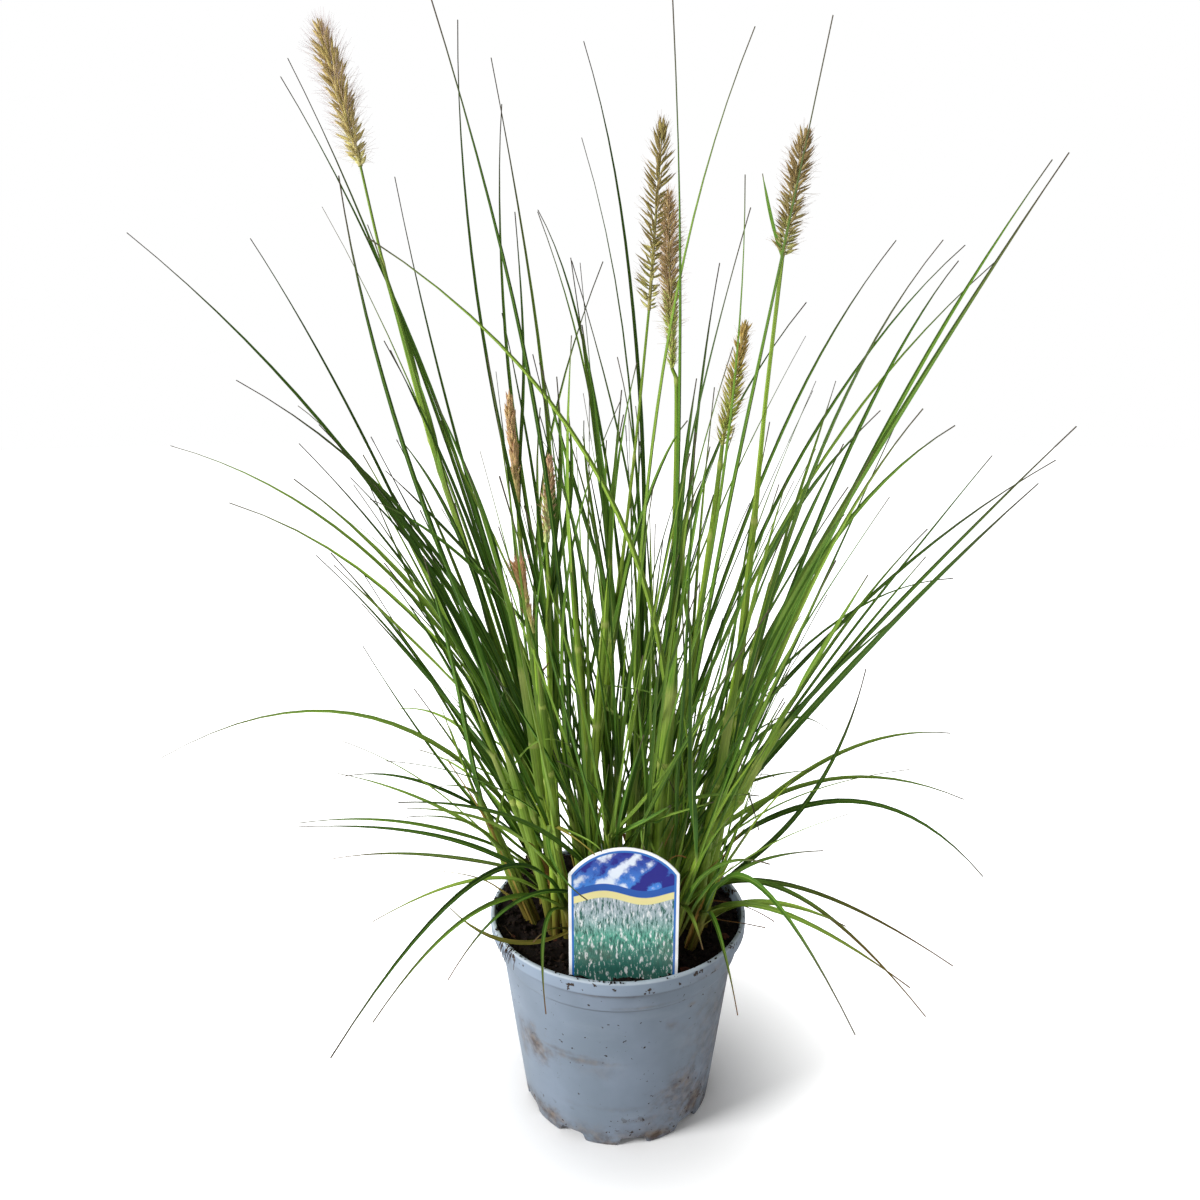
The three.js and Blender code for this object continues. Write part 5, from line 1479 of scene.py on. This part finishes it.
def cutDrainHoles(piece):
    tubes = []
    for k in range(pot["holes"]):
        angle = (pot["firstNotch"] + k * 360 / pot["holes"]) * deg
        at = pot["holeCircle"] * np.array([math.cos(angle), math.sin(angle), 0])
        line = np.array([at + up * z for z in (5.0, 11.0)])
        half = np.full(len(line), pot["holeRadius"])
        tubes.append(closedTube(ringsRound(line, (1, 0, 0), (0, 1, 0), roundAngles(28), half)))
    points, faces = joinParts(tubes)
    mesh = bpy.data.meshes.new("drainCutter")
    mesh.from_pydata(points, [], faces)
    cutter = put("drainCutter", mesh)
    cut = piece.modifiers.new("holes", "BOOLEAN")
    cut.operation, cut.object, cut.solver = "DIFFERENCE", cutter, "EXACT"
    graph = bpy.context.evaluated_depsgraph_get()
    made = bpy.data.meshes.new_from_object(piece.evaluated_get(graph))
    piece.modifiers.remove(cut)
    bpy.data.objects.remove(cutter)
    old = piece.data
    piece.data = made
    bpy.data.meshes.remove(old)


makePot()
print("pot made")

# Soil: peat, heaped in the middle, with crumbs and fibres on it
soil = {
    "sides": 144, "rings": 44, "fit": 0.35, "crumbs": 2300, "fibres": 70, "seed": 5, "onRim": 46,
    "hanging": 16, "hangFrom": 208, "hangTo": 222, "chips": 26, "chipSize": (3, 8),
    "edge": 5, "edgeFrom": 52, "edgeWidth": 26, "bank": 10, "bankAt": (-62, 42), "bankWidth": (24, 32),
    "lumps": ((1.5, 0.11, 3.1), (1.1, 0.33, 7.7), (0.6, 0.9, 1.3)), "crumbSize": (0.9, 4.2),
    "rimCrumb": (0.5, 1.8), "rimMiddle": -125, "rimSpread": 55, "onLip": (82.6, 84.4), "overLip": 83.5,
    "fibreLength": (4, 16), "fibreWidth": (0.35, 0.8), "threadLength": (3, 6), "threadWidth": (0.4, 0.9),
    "redChip": (40, -64, 8),
}
fibreForm = [(0, 0.8), (0.3, 1), (0.6, 1), (0.85, 0.7), (1, 0.3)]


def rough(x, y, scale, seed):
    heights = [noise.noise(Vector((a * scale, b * scale, seed))) for a, b in zip(x, y)]
    return np.array(heights)


def soilTop(x, y):
    lumps = sum(height * rough(x, y, scale, seed) for height, scale, seed in soil["lumps"])
    edge = soil["edge"] * smooth((np.hypot(x, y) - soil["edgeFrom"]) / soil["edgeWidth"])
    off = [(value - at) / width for value, at, width in zip((x, y), soil["bankAt"], soil["bankWidth"])]
    bank = soil["bank"] * np.exp(-off[0] ** 2 - off[1] ** 2)
    return soilHeight(x, y) + lumps + edge + bank


def makeSoilMaterial(name, dark, mid, pale, scale):
    material, shader, where = newMaterial(name, Roughness=0.95, Specular_IOR_Level=0.2)
    fine = clouds(where, scale, 6, 0.7)
    color = ramp(fine, (0.35, dark), (0.55, mid), (0.72, pale))
    connect(shader, {"Base Color": color, "Normal": bump(fine, 0.8, 0.0012)})
    return material


def makeSoil():
    angle = roundAngles(soil["sides"])
    rows = [(0.5, 9.4)] + [(innerRadius(z) - soil["fit"], z) for z in (9.4, 30, 60, 90, 108)]
    for share in np.linspace(1, 0, soil["rings"]) ** 0.85:
        reach = max(0.3, share * (innerRadius(soilHeight(80, 0)) - soil["fit"]))
        z = soilTop(reach * np.cos(angle), reach * np.sin(angle))
        rows.append((np.minimum(reach, innerRadius(z) - soil["fit"]), z))
    filling = closedTube(turnedRings(rows, soil["sides"]))
    makePiece("pottingSoil", [filling], [peat], "soil", ["soil"], sharp=180)


def crumbForm():
    # twenty triangles over twelve points, wherever three points are neighbours
    a = (1 + 5**0.5) / 2
    pairs = [(-1, a), (1, a), (-1, -a), (1, -a)]
    points = [(x, y, 0) for x, y in pairs] + [(0, x, y) for x, y in pairs] + [(y, 0, x) for x, y in pairs]
    points = np.array(points)
    faces = []
    for corners in combinations(range(12), 3):
        p, q, r = points[list(corners)]
        if max(dots(p - q, p - q), dots(q - r, q - r), dots(r - p, r - p)) < 4.1:
            faces.append(corners if dots(np.cross(q - p, r - p), p) > 0 else corners[::-1])
    return unit(points), faces


def crumbs(places, sizes, rng, squash=0.7):
    form, faces = crumbForm()
    parts = []
    for place, size in zip(places, sizes):
        shape = form * rng.uniform(0.6, 1.25, (12, 1)) * size / 2 * np.array([1, rng.uniform(0.6, 1), squash])
        parts.append((turnedRound(shape, up, rng.uniform(0, 2 * math.pi)) + place, faces, {}, 0))
    return parts


def scattered(count, reach, rng):
    away = reach * np.sqrt(rng.uniform(0.02, 1, count))
    turn = rng.uniform(0, 2 * math.pi, count)
    return away * np.cos(turn), away * np.sin(turn)


def makeCrumbs(rng):
    x, y = scattered(soil["crumbs"], 81, rng)
    least, more = soil["crumbSize"]
    sizes = least + more * rng.uniform(0, 1, soil["crumbs"]) ** 3
    parts = crumbs(np.stack([x, y, soilTop(x, y) + sizes * 0.18], axis=-1), sizes, rng)
    # spilt crumbs on the lip, most of them at the left and in front
    turn = rng.normal(soil["rimMiddle"], soil["rimSpread"], soil["onRim"]) * deg
    away = rng.uniform(*soil["onLip"], soil["onRim"])
    sizes = rng.uniform(*soil["rimCrumb"], soil["onRim"])
    onLip = np.stack([away * np.cos(turn), away * np.sin(turn), pot["height"] + sizes * 0.25], axis=-1)
    makePiece("soilCrumbs", parts + crumbs(onLip, sizes, rng), [peatCrumb], "soil", sharp=30)


def makeFibres(rng):
    count = soil["fibres"]
    x, y = scattered(count, 79, rng)
    base = np.stack([x, y, soilTop(x, y) + 0.6], axis=-1)
    turn = rng.uniform(0, 2 * math.pi, count)
    heading = unit(np.stack([np.cos(turn), np.sin(turn), rng.uniform(-0.05, 0.35, count)], axis=-1))
    bow = rng.normal(0, 2.5, (count, 3)) - np.outer(rng.uniform(0, 3, count), up)
    length, width = rng.uniform(*soil["fibreLength"], count), rng.uniform(*soil["fibreWidth"], count)
    # root threads that hang over the rim at the left
    more = soil["hanging"]
    turn = rng.uniform(soil["hangFrom"], soil["hangTo"], more) * deg
    out = np.stack([np.cos(turn), np.sin(turn), 0 * turn], axis=-1)
    base = np.vstack([base, out * soil["overLip"] + up * (pot["height"] + 0.2)])
    heading = np.vstack([heading, unit(out + rng.normal(0, 0.35, (more, 3)) + up * 0.1)])
    bow = np.vstack([bow, np.outer(rng.uniform(-9, -3, more), up)])
    length = np.concatenate([length, rng.uniform(*soil["threadLength"], more)])
    width = np.concatenate([width, rng.uniform(*soil["threadWidth"], more)])
    marks = (0, *rng.uniform(0, 1, (2, count + more)))
    threads = spindles(base, heading, length, width, fibreForm, 4, bow, marks)
    makePiece("peatFibres", [threads], [fibre], "soil", sharp=60)


def makeBark(rng):
    # flat chips of bark, one of them reddish, at the label's foot
    x, y = scattered(soil["chips"], 76, rng)
    sizes = rng.uniform(*soil["chipSize"], soil["chips"])
    x[0], y[0], sizes[0] = soil["redChip"]
    at = np.stack([x, y, soilTop(x, y) + 0.8], axis=-1)
    makePiece("barkChips", crumbs(at, sizes, rng, squash=0.25), [bark], "soil", sharp=30)


peat = makeSoilMaterial("peat", "#060302", "#150c08", "#33241a", 420)
peatCrumb = makeSoilMaterial("peatCrumb", "#080403", "#1e130d", "#46352a", 260)
fibre = makeSoilMaterial("peatFibre", "#1d120b", "#3b2a1c", "#6b5237", 150)
bark = makeSoilMaterial("bark", "#2a120b", "#4f2a1c", "#7a4a35", 180)
makeSoil()
soilDraws = np.random.default_rng(soil["seed"])
makeCrumbs(soilDraws)
makeFibres(soilDraws)
makeBark(soilDraws)
print("soil made")

# Plant label: a card with an arched top, with a plain printed pattern in blue, cream and green
labelHalf = labelSize["width"] / 2
labelRise = labelSize["top"] - labelSize["shoulder"]
labelBow = (labelHalf**2 + labelRise**2) / (2 * labelRise)
labelFoot = {"half": 9, "low": 86, "shoulder": 116}
labelInk = {
    "border": 1.7, "line": 1.3, "wave": 2.4, "stripeFrom": 178.5, "stripeTo": 183, "bandTo": 187.5,
    "paper": "#f6f7f8", "lineInk": "#2a6fbf", "cream": "#e6dc9a", "band": "#1f56ac", "skyLow": "#3f86dc",
    "skyHigh": "#1f2490", "glow": "#e6eef8", "indigo": "#1c1c84", "leafLow": "#2f6a5e", "leafMid": "#5aa892",
    "leafHigh": "#a9b6bf", "oval": "#eceeee", "shadow": "#2f6258",
}


def insetFromEdge(x, z):
    # how far a point lies inside the card's outline: straight sides under a round top
    above = calc("MAXIMUM", calc("SUBTRACT", z, labelSize["top"] - labelBow), 0.0)
    away = calc("SQRT", calc("ADD", times(x, x), times(above, above)))
    return calc("MINIMUM", calc("SUBTRACT", labelHalf, calc("ABSOLUTE", x)), calc("SUBTRACT", labelBow, away))


def labelSky(flatPlace, z):
    # pale and indigo veils that lean to one side
    leaning = mapped(flatPlace, spin=0.7)
    wave = {"Vector": leaning, "Scale": 0.026, "Distortion": 5.0, "Detail": 3.0, "Detail Scale": 0.5,
            "Phase Offset": 2.2}
    band = add(leaning.id_data, "TexWave", wave).outputs[1]
    veil = scaled(band, 0.12, times(clouds(leaning, 0.05, 6, 0.6), 0.9))
    sky = ramp(fade(z, 184.0, 212.0), (0, labelInk["skyLow"]), (1, labelInk["skyHigh"]))
    sky = layered(sky, (labelInk["indigo"], fade(veil, 0.52, 0.46)))
    return layered(sky, (labelInk["glow"], fade(veil, 0.54, 0.64), 0.95))


def labelMeadow(flatPlace, z):
    # slanted pale ovals over green, paler higher up
    stops = zip((0, 0.55, 1), (labelInk["leafLow"], labelInk["leafMid"], labelInk["leafHigh"]))
    color = ramp(fade(z, 134.0, 176.0), *stops)
    strokes = clouds(mapped(flatPlace, 0.35, (1, 0.22, 1)), 0.7, 4, 0.7)
    layers = [(labelInk["shadow"], fade(strokes, 0.5, 0.4)), (labelInk["oval"], fade(strokes, 0.56, 0.64))]
    for tilt, scale, size in ((0.5, 0.24, 0.34), (-0.45, 0.3, 0.24)):
        slanted = mapped(flatPlace, tilt, (1, 0.5, 1))
        cells = {"Vector": slanted, "Scale": scale, "Randomness": 0.8}
        ovals = add(slanted.id_data, "TexVoronoi", cells).outputs[0]
        layers.append((labelInk["oval"], fade(ovals, size, size - 0.12), fade(strokes, 0.42, 0.52), 0.8))
    return layered(color, *layers)


def makeLabelMaterial():
    material, shader, where = newMaterial("labelPrint", Specular_IOR_Level=0.35)
    spot = split(where)
    x = times(calc("SUBTRACT", spot[0], labelSize["at"][0] * mm), 1000.0)
    z = times(spot[2], 1000.0)
    flatPlace = add(material.node_tree, "CombineXYZ", {0: x, 1: z}).outputs[0]
    inset = insetFromEdge(x, z)
    level = calc("ADD", z, times(calc("SINE", times(x, 0.13)), labelInk["wave"]))
    low, middle, high = labelInk["stripeFrom"], labelInk["stripeTo"], labelInk["bandTo"]
    border, line = labelInk["border"], labelInk["border"] + labelInk["line"]
    print_ = layered(
        labelMeadow(flatPlace, z),
        (labelInk["cream"], fade(level, low, low + 0.3)),
        (labelInk["band"], fade(level, middle, middle + 0.3)),
        (labelSky(flatPlace, z), fade(level, high, high + 0.3)),
        (labelInk["lineInk"], fade(inset, line + 0.2, line)),
    )
    front = (labelSize["at"][1] - labelSize["thickness"] / 2 + 0.12) * mm
    mask = times(calc("LESS_THAN", spot[1], front), fade(inset, border, border + 0.2))
    grime = clouds(where, 60, 5)
    dusty = ("#6a5a4a", fade(grime, 0.45, 0.8), fade(z, 175.0, 130.0), 0.5)
    color = layered(blended(labelInk["paper"], print_, mask), dusty)
    connect(shader, {"Base Color": color, "Roughness": scaled(grime, 0.2, 0.25)})
    return material


def makeLabel():
    sweep = math.asin(labelHalf / labelBow)
    arch = [(labelBow * math.sin(a), labelSize["top"] - labelBow * (1 - math.cos(a)))
            for a in np.linspace(sweep, -sweep, 41)]
    half, low, shoulder = labelFoot.values()
    outline = np.array([(-half, low), (half, low), (labelHalf, shoulder), *arch, (-labelHalf, shoulder)])
    inner = outline + unit(outline.mean(axis=0) - outline) * 0.25
    x, y = labelSize["at"]
    thick = labelSize["thickness"] / 2
    layers = [(inner, thick), (outline, thick - 0.2), (outline, 0.2 - thick), (inner, -thick)]
    rings = [np.stack([x + ring[:, 0], y + depth + 0 * ring[:, 0], ring[:, 1]], axis=-1)
             for ring, depth in layers]
    card = closedTube(np.stack(rings))
    makePiece("plantLabel", [card], [makeLabelMaterial()], "label", ["plant_label"], sharp=30)


makeLabel()
print("label made")

# Studio: a wide pale floor, a white surround and soft lights, the strongest from the left
studio = {"floor": ("#f4f4f4", "#f6f6f6"), "reach": 9, "world": 0.31, "bright": 1.0, "fade": (0.04, 0.25)}
lights = {
    "key": {"at": (-2.5, -1.2, 1.7), "size": 1.1, "power": 112},
    "fill": {"at": (1.7, -1.8, 1.1), "size": 2.2, "power": 5},
    "overhead": {"at": (-0.3, 0.7, 2.4), "size": 1.8, "power": 18},
}
aimedAt = Vector((0, 0, 0.3))


def makeFloorMaterial():
    # painted light: the floor glows to the camera away from the pot, so that it fades into the white surround
    # and its shadow fades out
    finish = {"Roughness": 0.9, "Specular_IOR_Level": 0.1, "Emission_Color": "#ffffff"}
    material, shader, where = newMaterial("paperFloor", **finish)
    far = add(where.id_data, "VectorMath", {0: where}, operation="LENGTH").outputs["Value"]
    seen = add(where.id_data, "LightPath", {}).outputs["Is Camera Ray"]
    glow = times(fade(far, *studio["fade"]), seen)
    connect(shader, {"Base Color": blended(*studio["floor"], clouds(where, 3, 2)), "Emission Strength": glow})
    return material


def makeWorld():
    world = bpy.data.worlds.new("studio")
    world.use_nodes = True
    tree = world.node_tree
    seen = add(tree, "LightPath", {}).outputs["Is Camera Ray"]
    strength = add(tree, "MapRange", {0: seen, 3: studio["world"], 4: studio["bright"]}).outputs[0]
    connect(tree.nodes["Background"], {0: "#ffffff", 1: strength})
    bpy.context.scene.world = world


def makeStudio():
    mesh = bpy.data.meshes.new("paperFloor")
    rim = turnedRings([(studio["reach"], -0.0002)], 96)[0]
    mesh.from_pydata(rim, [], [list(range(len(rim)))])
    mesh.materials.append(makeFloorMaterial())
    put("paperFloor", mesh)
    makeWorld()
    for name, light in lights.items():
        data = bpy.data.lights.new(name, "AREA")
        data.shape, data.size, data.energy = "DISK", light["size"], light["power"]
        lamp = put(name, data)
        lamp.location = light["at"]
        lamp.rotation_euler = (aimedAt - lamp.location).to_track_quat("-Z", "Y").to_euler()
    bpy.context.scene.view_settings.view_transform = "Standard"


makeStudio()
print("studio ready")
